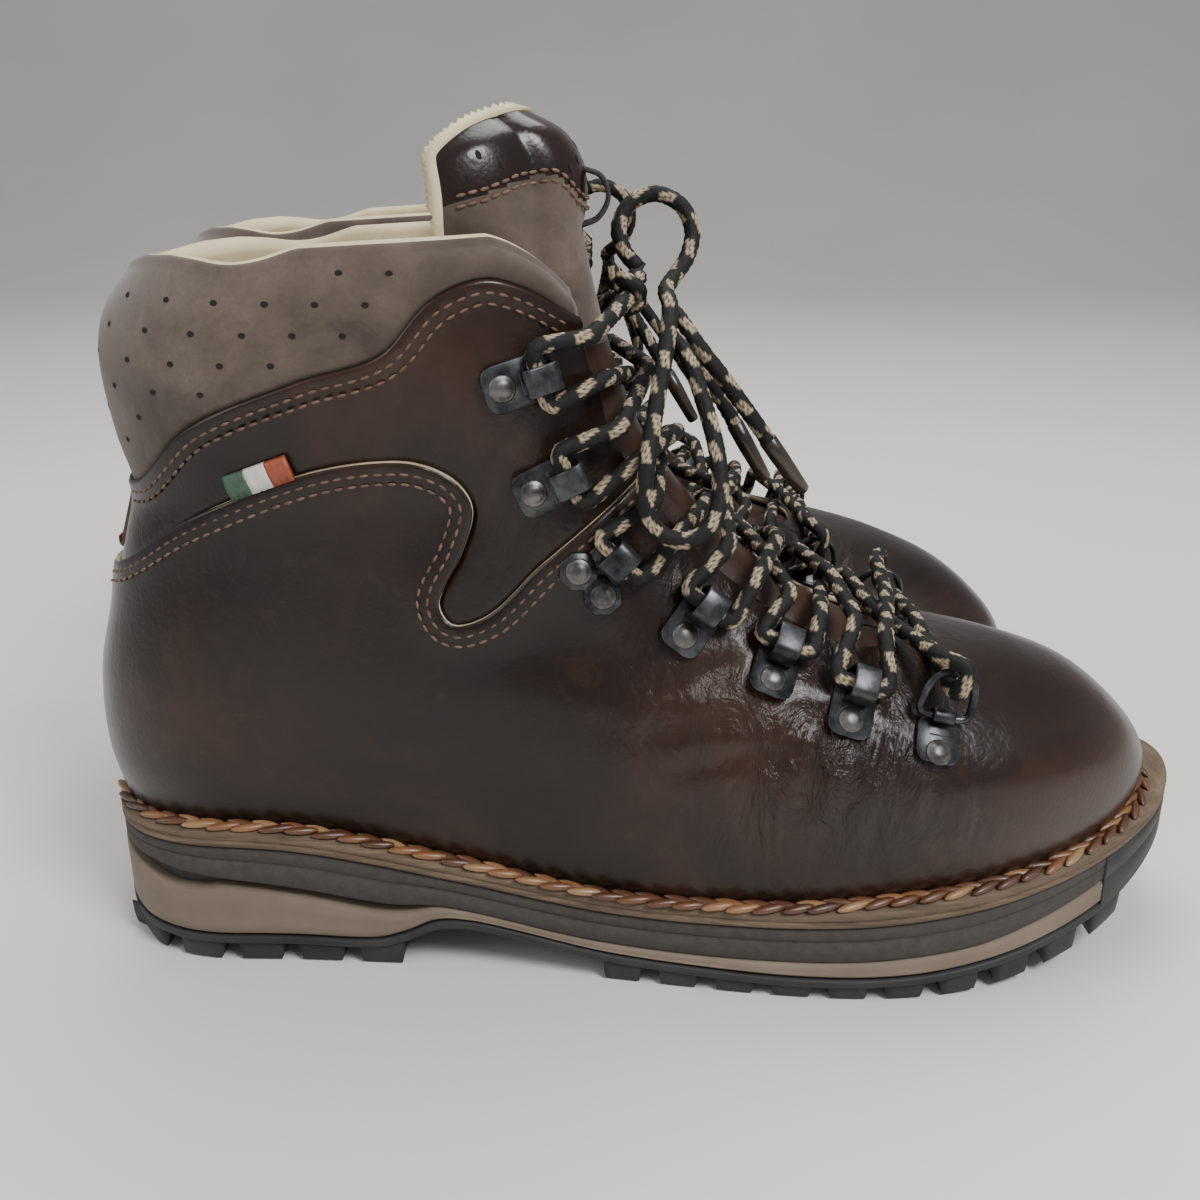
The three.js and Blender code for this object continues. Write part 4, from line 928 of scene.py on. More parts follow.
def make_collar():
    """The padded collar: one section after another, from throat edge to throat edge."""
    shares = np.concatenate([np.linspace(1, 0, 90), np.linspace(0, 1, 90)[1:]])
    sides = np.array([-1] * 90 + [1] * 89)
    sections = []
    for share, side in zip(shares, sides):
        face = np.linspace(0, 1, 22)
        a, v, puff = collar_face(np.full(22, share), side, face)
        outside = on_skin(a, v, puff)
        top = v[-1]
        normal = skin_normal(a[-1], top)
        deep = 6.6 * (0.5 + 0.5 * ease((1 - share) / 0.05))
        centre = on_skin(a[-1], top, puff[-1] - deep / 2)
        turn = np.linspace(0, np.pi, 9)[1:-1]
        arc = centre + normal * np.cos(turn)[:, None] * deep / 2 \
            + np.array([0, 0, 1]) * np.sin(turn)[:, None] * 2.6
        down = np.linspace(top, top - 0.13, 7)
        inside_a = round_place(share * edge_step(down), side)
        bulge = 0.5 * np.sin(np.linspace(0, np.pi, 7))
        inner = on_skin(inside_a, down, puff[-1] - deep - bulge)
        low = on_skin(a[0], v[0], -2.2)
        sections.append(np.vstack([outside, arc, inner, low[None]]))
    points, faces = closed_stack(sections)
    columns = len(sections[0])
    slots = []
    for face in faces:
        column = min(i % columns for i in face)
        is_cream = len(face) == 4 and 23 <= column < 36
        slots.append(1 if is_cream else 0)
    shape = Shape().add(points, faces, slots)
    made = put("collar_pad", shape, [NUBUCK, CREAM], replaces=["collar"])
    for piece in made.values():
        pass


def make_perforations():
    """Staggered rows of small holes in the collar, drawn as near black discs on its face: painted shade."""
    shape = Shape()
    disc = [[0, 0, 0]] + [[math.cos(t), math.sin(t), 0] for t in np.linspace(0, 2 * np.pi, 9)[:-1]]
    disc = np.array(disc)
    fan = [(0, 1 + i, 1 + (i + 1) % 8) for i in range(8)]
    for side in (-1, 1):
        for row, z in enumerate(np.arange(146, 201, 7.2)):
            for x in np.arange(18 + (6 if row % 2 else 0), 128, 12.0):
                if z < collar_seam_at(x) + 6 or z > top_line(x) - 5:
                    continue
                s, v = find_side(x, z)
                share = s / edge_step(v)
                if share > 0.94:
                    continue
                low, high = collar_level(share), rim_level(share)
                fraction = (v - low) / (high - low)
                a, v2, puff = collar_face(np.array([share]), side, np.array([fraction]))
                centre = on_skin(a, v2, puff + 0.12)[0]
                normal = skin_normal(a, v2)[0]
                across = unit(np.cross([0, 0, 1], normal))
                up = np.cross(normal, across)
                shape.add(centre + disc[:, :1] * across * 0.95 + disc[:, 1:2] * up * 0.75, fan)
    put("collar_holes", shape, [HOLE_SHADE])


def lining_depth(v):
    first = LEATHER + 0.3
    return first + (COLLAR_DEPTH + 0.3 - first) * ease((v - 0.4) / 0.2)


def make_lining():
    """The lining inside the whole boot, open over the throat."""
    levels = np.linspace(0.01, 1, 56)
    cut = find_plan(np.array([THROAT_END - 6.0]), np.array([2.0]))[0]
    sections = []
    for share, side in [(s, -1) for s in np.linspace(1, 0, 70)] + [(s, 1) for s in np.linspace(0, 1, 70)[1:]]:
        rim = rim_level(share)
        v = levels * (rim - 0.06)
        edge = np.where(v > cut, edge_step(v), 1.0)
        edge = np.where(v > cut, 1 + (edge - 1) * ease((v - cut) / 0.08), 1.0)
        a = round_place(share * edge, side)
        depth = lining_depth(v)
        inner = on_skin(a, v, -depth - LINING)
        outer = on_skin(a, v, -depth + 0.2)
        sections.append(np.vstack([outer, inner[::-1]]))
    points, faces = closed_stack(sections)
    columns = len(sections[0])
    slots = [1 if min(i % columns for i in face) < len(levels) - 3 else 0 for face in faces]
    shape = Shape().add(points, faces, slots, rub=0.0)
    put("lining_shell", shape, [CREAM, GUSSET], replaces=["lining"])


TONGUE_FOOT = 0.4
TONGUE_SINK = 1.6
TONGUE_STEPS = 71
tongue_lean = smooth([[204, 0], [216, -0.5], [226, -4], [234, -12]])
tongue_wing = smooth([[0.4, 0.6], [0.55, 0.72], [0.7, 0.85], [0.85, 0.95], [1, 0.985]])
crest_height = smooth([[95, 203], [99, 213], [107, 221.5], [115, 226.5], [123, 229.5],
                       [137, 232.5], [146, 232]])
cap_seam = smooth([[92, 206], [100.6, 209], [115.6, 213], [127.4, 217], [134.8, 217.3], [142, 210],
                   [150, 204]])


def tongue_loop(v):
    """A section of the tongue at one level: its outer face, then its inner face."""
    xb, _, xf, _ = slice_ends(v)
    widest = half_at(v, xb + (xf - xb) * 0.5)
    end = find_across(v, widest * tongue_wing(v))
    rim = lining_depth(v) + LINING + 0.6
    thick = 5 + 4 * ease((v - 0.75) / 0.2)
    t = np.linspace(-1, 1, TONGUE_STEPS)
    s = 1 - np.abs(t) * (1 - end)
    a = np.where(t < 0, s, 2 - s)
    across = half_at(v, skin(a, v)[:, 0])
    fall = np.minimum(across / (THROAT_HALF_WIDTH - 1), 1) ** 3
    lift = (rim - TONGUE_SINK) * (1 - fall) * ease((v - TONGUE_FOOT) / 0.08)
    edge = 1 - 0.5 * np.abs(t) ** 8
    outer = on_skin(a, v, lift - rim)
    inner = on_skin(a, v, lift / 2 - rim - thick * edge)
    return outer, inner


def tongue_top(outer, inner, t):
    """A section above the rim, t of the way up to the crest."""
    close = 1 - 0.05 * t * t
    level = []
    for line in (outer, inner):
        crest = crest_height(line[:, 0])
        z = line[:, 2] + (crest - line[:, 2]) * t
        middle = bend(line[:, 0])
        level.append(np.column_stack([
            line[:, 0] + tongue_lean(z), middle + (line[:, 1] - middle) * close, z]))
    body = ease((t - 0.75) / 0.25)
    centre = (level[0] + level[1]) / 2
    shrink = (1 - 0.8 * body ** 2) * (1 + 0.3 * math.sin(math.pi * t))
    rise = np.array([0, 0, 1.6 * body])
    return centre + (level[0] - centre) * shrink + rise, centre + (level[1] - centre) * shrink + rise


def make_tongue():
    """The padded tongue: nubuck, with a glossy leather cap and a pinked cream edge."""
    levels = [tongue_loop(v) for v in np.linspace(TONGUE_FOOT, 1, 60)]
    foot = len(levels)
    outer, inner = levels[-1]
    levels += [tongue_top(outer, inner, t) for t in np.linspace(0, 1, 33)[1:]]
    sections = [np.vstack([o, i[::-1]]) for o, i in levels]
    points, faces = closed_stack(sections)
    columns = 2 * TONGUE_STEPS
    slots = []
    for face in faces:
        column = min(i % columns for i in face)
        middle = points[list(face)].mean(0)
        if len(face) > 4:
            slots.append(2)
        elif column >= TONGUE_STEPS - 1:
            slots.append(2)
        elif middle[2] > cap_seam(middle[0]):
            slots.append(1)
        else:
            slots.append(3 if min(face) // columns < foot * 0.8 else 0)
    shape = Shape().add(points, faces, slots, rub=0.0, flex=0.0)
    made = put("tongue_pad", shape, [NUBUCK, CAP_LEATHER, CREAM, GUSSET], body="tongue",
               replaces=["tongue"])
    for piece in made.values():
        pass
    make_tongue_trim([o for o, _ in levels], foot)


TONGUE_MIDDLE = np.array([118.0, 0.0, 196.0])  # a place within the tongue's curve


def make_tongue_edge(grid):
    """The pinked cream edge that runs up the back of the tongue and over its top."""
    top = grid[-1]
    edge = np.vstack([grid[:-1, 0], top, grid[:-1, -1][::-1]])
    edge = even(edge, 1.15)
    for _ in range(3):
        edge[1:-1] = edge[1:-1] * 0.5 + (edge[:-2] + edge[2:]) * 0.25
    along = unit(np.gradient(edge, axis=0))
    flat = edge - TONGUE_MIDDLE
    out = unit(flat * [0.25, 1.0, 0.25])
    out = unit(out - along * (out * along).sum(1)[:, None])
    beyond = np.cross(along, out)
    beyond *= np.sign((beyond * (flat * [1, 0, 1])).sum(1))[:, None]
    tooth = np.where(np.arange(len(edge)) % 2, 1.9, 0.9)[:, None]
    low, high = edge - beyond * 1.4, edge + beyond * tooth
    sections = np.stack([low + out * 0.3, high + out * 0.2, high - out * 0.8, low - out * 1.1], 1)
    put("tongue_edge", Shape().add(*closed_stack(sections)), [CREAM], body="tongue")


def make_tongue_loop(grid):
    """The webbing loop to pull the tongue by."""
    front = grid[:, TONGUE_STEPS // 2]
    face = lambda z: float(np.interp(z, front[:, 2], front[:, 0]))
    path = [[face(205) - 0.6, 205], [face(207) + 3.6, 207], [face(212) + 5.4, 212],
            [face(217) + 3.8, 217], [face(219) - 0.6, 219]]
    points, faces = strip(path, 8, 1.3)
    put("tongue_loop", Shape().add(points + [0, front[0, 1], 0], faces), [WEBBING], body="tongue")


def make_tongue_stitches(grid, normals, over):
    """Two rows of thread along the cap's seam."""
    thread = Shape()
    kind = spheroid(4, 6)
    columns = range(4, TONGUE_STEPS - 4)
    line = [grid[np.argmax(over[:, j] > 0), j] + normals[np.argmax(over[:, j] > 0), j] * 0.25
            for j in columns]
    line = even(line, 0.4)
    for _ in range(12):
        line[1:-1] = line[1:-1] * 0.5 + (line[:-2] + line[2:]) * 0.25
    for lower in (0.6, -1.9):
        row = even(line + [0, 0, lower], 3.0)
        tangent = unit(np.gradient(row, axis=0))
        spread = unit(np.cross(tangent, [0, 0, 1.0]))
        axes = [np.array([spread[i] * 0.5, np.cross(spread[i], tangent[i]) * 0.5, tangent[i] * 1.3])
                for i in range(len(row))]
        beads(thread, row, axes, kind=kind)
    put("tongue_stitches", thread, [THREAD], body="tongue")


def make_tongue_nicks(grid, normals, over):
    """The small nicks in the cap, drawn as flat near black bodies: painted shade."""
    nicks = Shape()
    kind = spheroid(3, 6)
    for rows, j_step, first in ((5, 7, 6), (10, 7, 9), (15, 7, 6)):
        for j in range(first, TONGUE_STEPS - 5, j_step):
            i = np.argmax(over[:, j] > 0) + rows
            if i >= len(grid) - 6:
                continue
            out_axis = normals[i, j]
            across = unit(grid[i, j + 1] - grid[i, j])
            up = np.cross(out_axis, across)
            axes = np.array([across * 0.75, out_axis * 0.12, up * 1.25])
            beads(nicks, [grid[i, j] + out_axis * 0.05], [axes], kind=kind)
    put("tongue_nicks", nicks, [HOLE_SHADE], body="tongue")


def make_tongue_trim(outers, foot):
    grid = np.array(outers[foot - 8:])
    make_tongue_edge(grid)
    make_tongue_loop(grid)
    normals = unit(np.cross(np.gradient(grid, axis=1), np.gradient(grid, axis=0)))
    towards = np.sign((normals * (grid - TONGUE_MIDDLE)).sum(2))[..., None]
    normals = normals * towards
    over = grid[..., 2] - cap_seam(grid[..., 0])
    make_tongue_stitches(grid, normals, over)
    make_tongue_nicks(grid, normals, over)


def make_side_tab():
    """A small ribbed tab of three plain colours, caught in the curved seam on each side."""
    for k, (name, material) in enumerate((("olive", TAB_GREEN), ("ivory", TAB_WHITE),
                                          ("rust", TAB_RUST))):
        shape = Shape()
        for side in (-1, 1):
            sections = []
            for x in np.linspace(51.5 + 5.4 * k, 51.5 + 5.4 * (k + 1), 8):
                ridge = 0.25 * math.sin((x - 51.5) * 2 * math.pi / 1.35)
                ring = []
                for z, height in ((-3.2, 0.6), (-3.0, 2.0), (0, 2.4), (3.0, 2.0), (3.3, 0.6)):
                    s, v = find_side(x + z * -0.35, 146.2 + 0.36 * (x - 59.5) + z)
                    more = ridge if height > 1 else 0
                    ring.append(point_on(s, v, side, height + more))
                sections.append(ring)
            points, faces = closed_stack(np.array(sections))
            shape.add(points, faces)
        put(f"side_tab_{name}", shape, [material])


def make_back_strip():
    """The narrow strip up the back, with a bar of four stitches across it near each end."""
    levels = np.linspace(0.475, 0.645, 40)
    sections = []
    for v in levels:
        wide = 0.020 * (0.75 + 0.25 * math.sin(v * 20))
        a = np.linspace(-wide, wide, 9)
        height = 1.0 + 1.3 * np.sqrt(np.clip(1 - (a / wide) ** 2, 0, 1))
        outer = on_skin(a, v, height)
        inner = on_skin(a, v, 0.0)
        sections.append(np.vstack([outer, inner[::-1]]))
    points, faces = closed_stack(sections)
    put("back_strip", Shape().add(points, faces, rub=0.0, flex=0.0), [STRIP_LEATHER])
    knots = Shape()
    bar = [on_skin(x, v, 2.2) for v in (levels[2], levels[-3]) for x in (-0.008, -0.003, 0.003, 0.008)]
    axes = [np.array([[0, 0, 1.6], [0.5, 0, 0], [0, 0.7, 0]])] * len(bar)
    beads(knots, bar, axes)
    put("back_tacks", knots, [THREAD])


# ------------------------------------------------------------------ sole

def stations(start, end, count):
    return start + (end - start) * (1 - np.cos(np.pi * np.linspace(0, 1, count))) / 2


def slab(lower, upper, half, start, end, edge=0.6, count=150, across=9, steps=()):
    """A layer of the sole. steps are more (share of the height, inset) rows of its side."""
    sections = []
    for x in stations(start, end, count):
        low, high, wide = lower(x), upper(x), max(float(half(x)), 0.02)
        small = min(edge, wide * 0.5, max((high - low) * 0.3, 0.01))
        rows = [(0, small), (small / max(high - low, 0.01), 0)]
        rows += list(steps)
        rows += [(1 - small / max(high - low, 0.01), 0), (1, small)]
        side = [(wide - min(inset, wide * 0.6), low + (high - low) * share) for share, inset in rows]
        ys = np.linspace(-1, 1, across)
        top = [(y * side[-1][0], high) for y in ys[1:-1]]
        bottom = [(y * side[0][0], low) for y in ys[1:-1]]
        ring = [(-y, z) for y, z in side] + top + side[::-1] + bottom[::-1]
        sections.append([(x, bend(x) + y, z) for y, z in ring])
    return closed_stack(sections)


TOE_FACE = SOLE_LENGTH - 30


def make_sole():
    welt_bottom = lambda x: welt_top(x) - WELT_THICKNESS
    points, faces = slab(welt_bottom, welt_top, sole_half, 0, SOLE_LENGTH, 0.9, 220,
                         steps=[(0.42, 0.0), (0.5, 0.5), (0.58, 0.0)])
    put("welt_strip", Shape().add(points, faces), [WELT_EDGE], replaces=["welt"])

    groove = lambda share: [(share - 0.05, 0), (share, 0.55), (share + 0.05, 0)]
    inset = lambda x: sole_half(x) - 0.8
    shape = Shape()
    points, faces = slab(midsole_bottom, lambda x: welt_bottom(x) - 0.3, inset, 0.8, TOE_FACE - 0.3,
                         0.5, 200, steps=groove(0.62))
    shape.add(points, faces)
    core = lambda x: sole_half(x) - 4.8
    points, faces = slab(lambda x: wedge_top(x) + 0.3, lambda x: midsole_bottom(x) + 1, core, 5,
                         TOE_FACE - 1, 0.1, 160)
    shape.add(points, faces)
    put("midsole_layer", shape, [MIDSOLE_GREY], replaces=["midsole"])

    points, faces = slab(rubber_top, wedge_top, lambda x: sole_half(x) - 0.3, 0.4, TOE_FACE - 0.3,
                         1.2, 200, steps=[(0.3, 0.0), (0.6, 0.1)])
    put("wedge_layer", Shape().add(points, faces), [WEDGE_TAUPE], replaces=["wedge"])
    make_outsole(welt_bottom)

    board_top = lambda x: welt_top(x) + 3.6
    foot_half = lambda x: half_at(0.0, x) - 8.3
    points, faces = slab(board_top, lambda x: board_top(x) + 4.5, foot_half, 9, 301, 1.6, 120)
    put("footbed_felt", Shape().add(points, faces), [FELT], body="footbed", replaces=["footbed"])
    for boot in BOOTS:
        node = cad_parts[f"{boot}_insole_board"]
        node.data.materials.clear()
        node.data.materials.append(BOARD)


def lug(shape, x0, x1, inner, side):
    """One tread block: its outer face follows the sole's edge. side 0 is a centre block."""
    rows = []
    taper = 0.7
    top = lambda x: float(rubber_top(x)) - 1.2
    for depth, shrink in ((1.0, 0), (0.35, 0.2), (0.06, taper * 0.8), (0.0, taper + 0.5)):
        ring = []
        xs = np.linspace(x0 + shrink, x1 - shrink, 5)
        if side:
            outer = [max(float(sole_half(x)) - 0.9 - shrink, inner + 0.6) for x in xs]
            near = [inner + shrink] * 5
        else:
            outer, near = [inner - shrink] * 5, [-(inner - shrink)] * 5
        for x, y in list(zip(xs, near)) + list(zip(xs, outer))[::-1]:
            low = float(lug_bottom(x))
            z = low + (top(x) - low) * depth
            ring.append((x, float(bend(x)) + (side or 1) * y, z))
        rows.append(ring)
    points, faces = closed_stack(rows)
    shape.add(points, faces)


def make_outsole(welt_bottom):
    shape = Shape()
    sheet_low = lambda x: np.maximum(rubber_top(x) - 2.8, lug_bottom(x) + 0.5)
    points, faces = slab(sheet_low, lambda x: rubber_top(x) - 0.3, sole_half, 0, SOLE_LENGTH, 0.5, 220)
    shape.add(points, faces)
    points, faces = slab(sheet_low, lambda x: welt_bottom(x) - 0.3, sole_half, TOE_FACE, SOLE_LENGTH,
                         0.8, 60, steps=[(0.55, 0.0), (0.6, 0.5), (0.65, 0.0)])
    shape.add(points, faces)
    for start, end in ((4, 88), (146, 314)):
        count = int((end - start + 5) // 15.5)
        step = (end - start + 5) / count
        for i in range(count):
            x = start + i * step
            for side in (-1, 1):
                if float(sole_half(x + step / 2)) > 23:
                    lug(shape, x, x + step - 5, 20, side)
            if i % 2 == 0 and i < count - 1:
                lug(shape, x + step / 4, x + step / 4 + 2 * (step - 5), 15, 0)
    put("outsole_tread", shape, [RUBBER], replaces=["outsole"])


BRAID_PITCH = 7.4


def make_welt_stitch():
    """Thick waxed thread in a braid along the foot of the upper."""
    a = np.linspace(0, 2, 1601)
    foot = skin(a, np.zeros(1601))
    outward_2d = unit(np.cross(np.gradient(foot, axis=0) * [1, 1, 0], [0, 0, 1.0]))
    x = foot[:, 0]
    ledge = 0.3 + 1.6 * ease((x - 3) / 25)
    path = foot + outward_2d * ledge[:, None]
    path[:, 2] = welt_top(x) + 1.0
    path = even(path, 1.0)
    length = len(path) - 1
    shape = Shape()
    kind = spheroid(7, 8)
    own = np.random.default_rng(5)
    tangent = unit(np.gradient(path, axis=0))
    for k in range(int(length / BRAID_PITCH)):
        for row, lean in ((-1, 1), (1, -1)):
            at = int(min((k + (0.5 if row > 0 else 0)) * BRAID_PITCH, length - 1))
            along = tangent[at]
            out = unit(np.cross(along, [0, 0, 1.0]))
            long_axis = unit(along + out * lean * 0.3 + [0, 0, own.uniform(-0.05, 0.05)])
            side = unit(np.cross([0, 0, 1.0], long_axis))
            up = np.cross(long_axis, side)
            centre = path[at] + out * row * 1.05 + [0, 0, 0.1 + own.uniform(-0.15, 0.2)]
            axes = np.array([side * 1.4, up * 1.15, long_axis * own.uniform(4.8, 5.5)])
            tint = own.uniform(0.15, 0.95)
            beads(shape, [centre], [axes], kind=kind, tint=[tint])
    put("welt_braid", shape, [WELT_THREAD])


# ------------------------------------------------------------------ stitching

def stitch_row(shape, places, rise, offset, length=2.5, gap=0.9, thick=0.42):
    """Stitches along a line of (a, v) places, moved sideways over the skin by an offset."""
    line = skin(*places.T)
    normal = skin_normal(*places.T)
    across = unit(np.cross(normal, np.gradient(line, axis=0)))
    moved = line + across * offset
    full = np.hstack([moved, normal])
    steps = np.concatenate([[0], np.cumsum(np.linalg.norm(np.diff(moved, axis=0), axis=1))])
    kind = spheroid(4, 6)
    at = np.arange(1, steps[-1] - 1, length + gap)
    centres = np.column_stack([np.interp(at, steps, full[:, i]) for i in range(6)])
    ahead = np.column_stack([np.interp(at + 0.5, steps, full[:, i]) for i in range(3)])
    for row, forward in zip(centres, ahead):
        centre, out = row[:3], unit(row[3:])
        along = unit(forward - centre)
        side = np.cross(out, along)
        axes = np.array([side * thick, out * thick, along * length / 2])
        beads(shape, [centre + out * rise], [axes], kind=kind)


def make_stitches(seam, far_seam):
    shape = Shape()
    for side, line in ((-1, seam), (1, far_seam)):
        sign = 1 if side < 0 else -1
        for offset in SEAM_ROWS:
            stitch_row(shape, line[2:], SEAM_LIP, offset * sign)
        high, _ = cut_at(SEAMS[side]["collar"], SEAMS[side]["throat"])
        for offset in COLLAR_ROWS:
            stitch_row(shape, high[2:-2], 1.15, offset * sign)
    put("seam_stitches", shape, [THREAD])


# ------------------------------------------------------------------ hardware

HOOK_PLACES = [[129, 171.5], [136, 146.5], [149, 125], [172, 111], [193, 99], [212.5, 90.5]]
RING_PLACE = [234, 82.5]
OPEN_HOOKS = 2
TWIN_HOOK = 2
PLATE_MIDDLE = 4
PLATE_FRONT = LACE_ROOM / 2 + HOOK_METAL
RIVET_SETBACK = PLATE_FRONT + 0.6 + RIVET_RADIUS
PLATE_BACK = RIVET_SETBACK + RIVET_RADIUS + 1.2
BAR_HEIGHT = PLATE_THICKNESS + RING_WIRE / 2 + 0.3


def ridge_level(place):
    levels = np.arange(0.3, 1, 0.005)
    line = front_line(levels)
    return float(levels[np.argmin(np.hypot(line[:, 0] - place[0], line[:, 1] - place[1]))])


def frame_at(place, side):
    """A 4 x 3 frame on the skin: axes towards the ridge, up the throat, out, and its origin."""
    level = ridge_level(place)
    ridge = front_line(level)
    away = unit(ridge - np.array(place, float))
    s, v = find_side(place[0] - away[0] * PLATE_MIDDLE, place[1] - away[1] * PLATE_MIDDLE)
    a = round_place(s, side)
    out = skin_normal(a, v)
    middle = skin(a, v)
    towards = skin(np.array(1.0), np.array(level)) - middle
    inward = unit(towards - out * np.dot(towards, out))
    up = np.cross(out, inward) * -side
    bumps = []
    for across in (-8, 0, 8):
        for along in (-8, 0, 8):
            spot = middle + inward * across + up * along * 0.75
            s2, v2 = find_side(spot[0], spot[2])
            bumps.append(np.dot(skin(round_place(s2, side), v2) - middle, out))
    lift = max(bumps) + HARDWARE_LIFT
    return np.array([inward, up, out, middle + out * lift + inward * PLATE_MIDDLE])


def in_frame(axes, points):
    return np.asarray(points, float) @ axes[:3] + axes[3]


def rounded(half_x, half_y, radius, centre=(0, 0), steps=4):
    """A rounded rectangle as [x, y] points."""
    out = []
    for k, (sx, sy) in enumerate(((1, 1), (-1, 1), (-1, -1), (1, -1))):
        for t in np.linspace(0, math.pi / 2, steps):
            angle = t + k * math.pi / 2
            out.append([centre[0] + sx * (half_x - radius) + radius * math.cos(angle),
                        centre[1] + sy * (half_y - radius) + radius * math.sin(angle)])
    return np.array(out)


def plate_shape(outline, low, high, edge=0.3):
    """An outline as a plate with softened edges."""
    centre = outline.mean(0)
    small = centre + (outline - centre) * (1 - edge / np.abs(outline - centre).max())
    rows = [(small, low), (outline, low + edge), (outline, high - edge), (small, high)]
    return closed_stack([[(x, y, z) for x, y in ring] for ring, z in rows])


def dome(x, y, base):
    """A rivet head: a low dome with a rolled foot."""
    profile = [(RIVET_RADIUS, 0), (RIVET_RADIUS * 1.02, 0.35), (RIVET_RADIUS * 0.9, 0.62),
               (RIVET_RADIUS * 0.78, 0.7), (RIVET_RADIUS * 0.66, 1.15), (RIVET_RADIUS * 0.36, 1.5),
               (RIVET_RADIUS * 0.1, 1.58)]
    turn = np.linspace(0, 2 * np.pi, 25)[:-1]
    return closed_stack([[(x + r * math.cos(t), y + r * math.sin(t), base + z) for t in turn]
                         for r, z in profile])


def strip(path, width, thick):
    """A bent metal strip: a line in the x-z plane, as wide as its width along y."""
    path = even(route(path)(np.linspace(0, 1, 60)), 0.6)
    tangent = unit(np.gradient(path, axis=0))
    normal = np.column_stack([-tangent[:, 1], tangent[:, 0]])
    sections = []
    for (x, z), (nx, nz) in zip(path, normal):
        ring = []
        for y, n in rounded(width / 2, thick / 2, min(0.45, thick * 0.4), steps=3):
            ring.append((x + nx * n, y, z + nz * n))
        sections.append(ring)
    return closed_stack(sections)


def turned(shape, axes, points, faces, slot=0):
    """Adds a body given in a hook's frame; the inner side's frame is left-handed."""
    placed = in_frame(axes, points)
    shape.add(placed, outward(placed, faces), slot)


def make_hook(index, axes):
    shape = Shape()
    add = lambda body, slot=0: turned(shape, axes, *body, slot)
    is_twin, is_open = index == TWIN_HOOK, index < OPEN_HOOKS
    width = TWIN_PLATE_WIDTH if is_twin else PLATE_WIDTH
    middle = (PLATE_FRONT - PLATE_BACK) / 2
    half = (PLATE_FRONT + PLATE_BACK) / 2
    if is_twin:
        for y in (-4.5, 4.5):
            octagon = np.array([[-RIVET_SETBACK + 5.3 * math.cos(t), y + 5.3 * math.sin(t)]
                                for t in np.linspace(0, 2 * np.pi, 9)[:-1] + math.pi / 8])
            add(plate_shape(octagon, 0, PLATE_THICKNESS))
            add(dome(-RIVET_SETBACK, y, PLATE_THICKNESS - 0.05), 1)
        add(plate_shape(rounded(half * 0.5, 5.5, 1.5, (middle + half * 0.5, 0)), 0, PLATE_THICKNESS * 0.9))
    else:
        add(plate_shape(rounded(half, width / 2, 3.2, (middle, 0)), 0, PLATE_THICKNESS))
        add(dome(-RIVET_SETBACK, 0, PLATE_THICKNESS - 0.05), 1)
    inner, roof = LACE_ROOM / 2 + HOOK_METAL / 2, PLATE_THICKNESS + LACE_ROOM + HOOK_METAL / 2
    foot = PLATE_THICKNESS * 0.6
    if is_open:
        path = [[-inner, foot], [0, foot], [inner - 0.6, foot + 0.1], [inner, foot + 1.2],
                [inner, roof - 1.4], [inner - 1, roof], [0, roof], [-inner, roof], [-inner, roof - 1.4]]
    else:
        path = [[-inner + 0.6, foot], [inner - 0.6, foot], [inner, foot + 1], [inner, roof - 1.4],
                [inner - 1.2, roof], [1 - inner, roof], [-inner, roof - 1.2], [-inner, foot + 1.2]]
    add(strip(path, HOOK_WIDTH, HOOK_METAL * 0.75))
    return shape


def make_ring_plate(axes):
    shape = Shape()
    add = lambda body, slot=0: turned(shape, axes, *body, slot)
    back = RIVET_SETBACK + RIVET_RADIUS
    add(plate_shape(rounded(back / 2, PLATE_WIDTH / 2, 3, (-back / 2, 0)), 0, PLATE_THICKNESS))
    add(dome(-RIVET_SETBACK - 0.6, 0, PLATE_THICKNESS - 0.05), 1)
    radius = RING_WIRE / 2 + 0.3 + 0.5
    turn = np.linspace(-0.5 * np.pi - 0.9, np.pi * 0.9, 14)
    path = [[radius * math.cos(t), BAR_HEIGHT + radius * math.sin(t)] for t in turn]
    add(strip([[-5, PLATE_THICKNESS * 0.6]] + path[2:], 6, 1.0))
    return shape


def make_toe_ring(axes):
    shape = Shape()
    half, corner = RING_WIDTH / 2, 3
    shoulder = RING_REACH - corner
    path = [[0, corner - half], [0, half - corner], [corner * 0.3, half * 0.93], [corner, half],
            [shoulder, half * 0.85], [RING_REACH, half * 0.4], [RING_REACH, -half * 0.4],
            [shoulder, -half * 0.85], [corner, -half], [corner * 0.3, -half * 0.93]]
    closed = np.array(path + path[:3], float)
    steps = np.linalg.norm(np.diff(closed, axis=0), axis=1)
    start, end = steps[0] / steps.sum(), 1 - steps[-1] / steps.sum()
    line = route(closed)(np.linspace(start, end, 300))
    x, y = even(line, 0.7)[:-1].T
    tilted = np.column_stack([x * math.cos(RING_TILT), y, BAR_HEIGHT + x * math.sin(RING_TILT)])
    turned(shape, axes, *tube(tilted, RING_WIRE / 2, 10, is_loop=True))
    return shape


def make_hardware():
    axes = {}
    for side, where in ((-1, "outer"), (1, "inner")):
        axes[side] = [frame_at(place, side) for place in HOOK_PLACES]
        ring = frame_at(RING_PLACE, side)
        axes[(side, "ring")] = ring
        for i, own in enumerate(axes[side]):
            put(f"{where}_hook_{i + 1}_metal", make_hook(i, own), [GUNMETAL, RIVET_METAL],
                replaces=[f"{where}_hook_{i + 1}"])
        put(f"{where}_ring_clip", make_ring_plate(ring), [GUNMETAL, RIVET_METAL],
            replaces=[f"{where}_ring_plate"])
        put(f"{where}_ring_wire", make_toe_ring(ring), [GUNMETAL], body=f"{where}_ring",
            replaces=[f"{where}_toe_ring"])
    return axes


# ------------------------------------------------------------------ laces

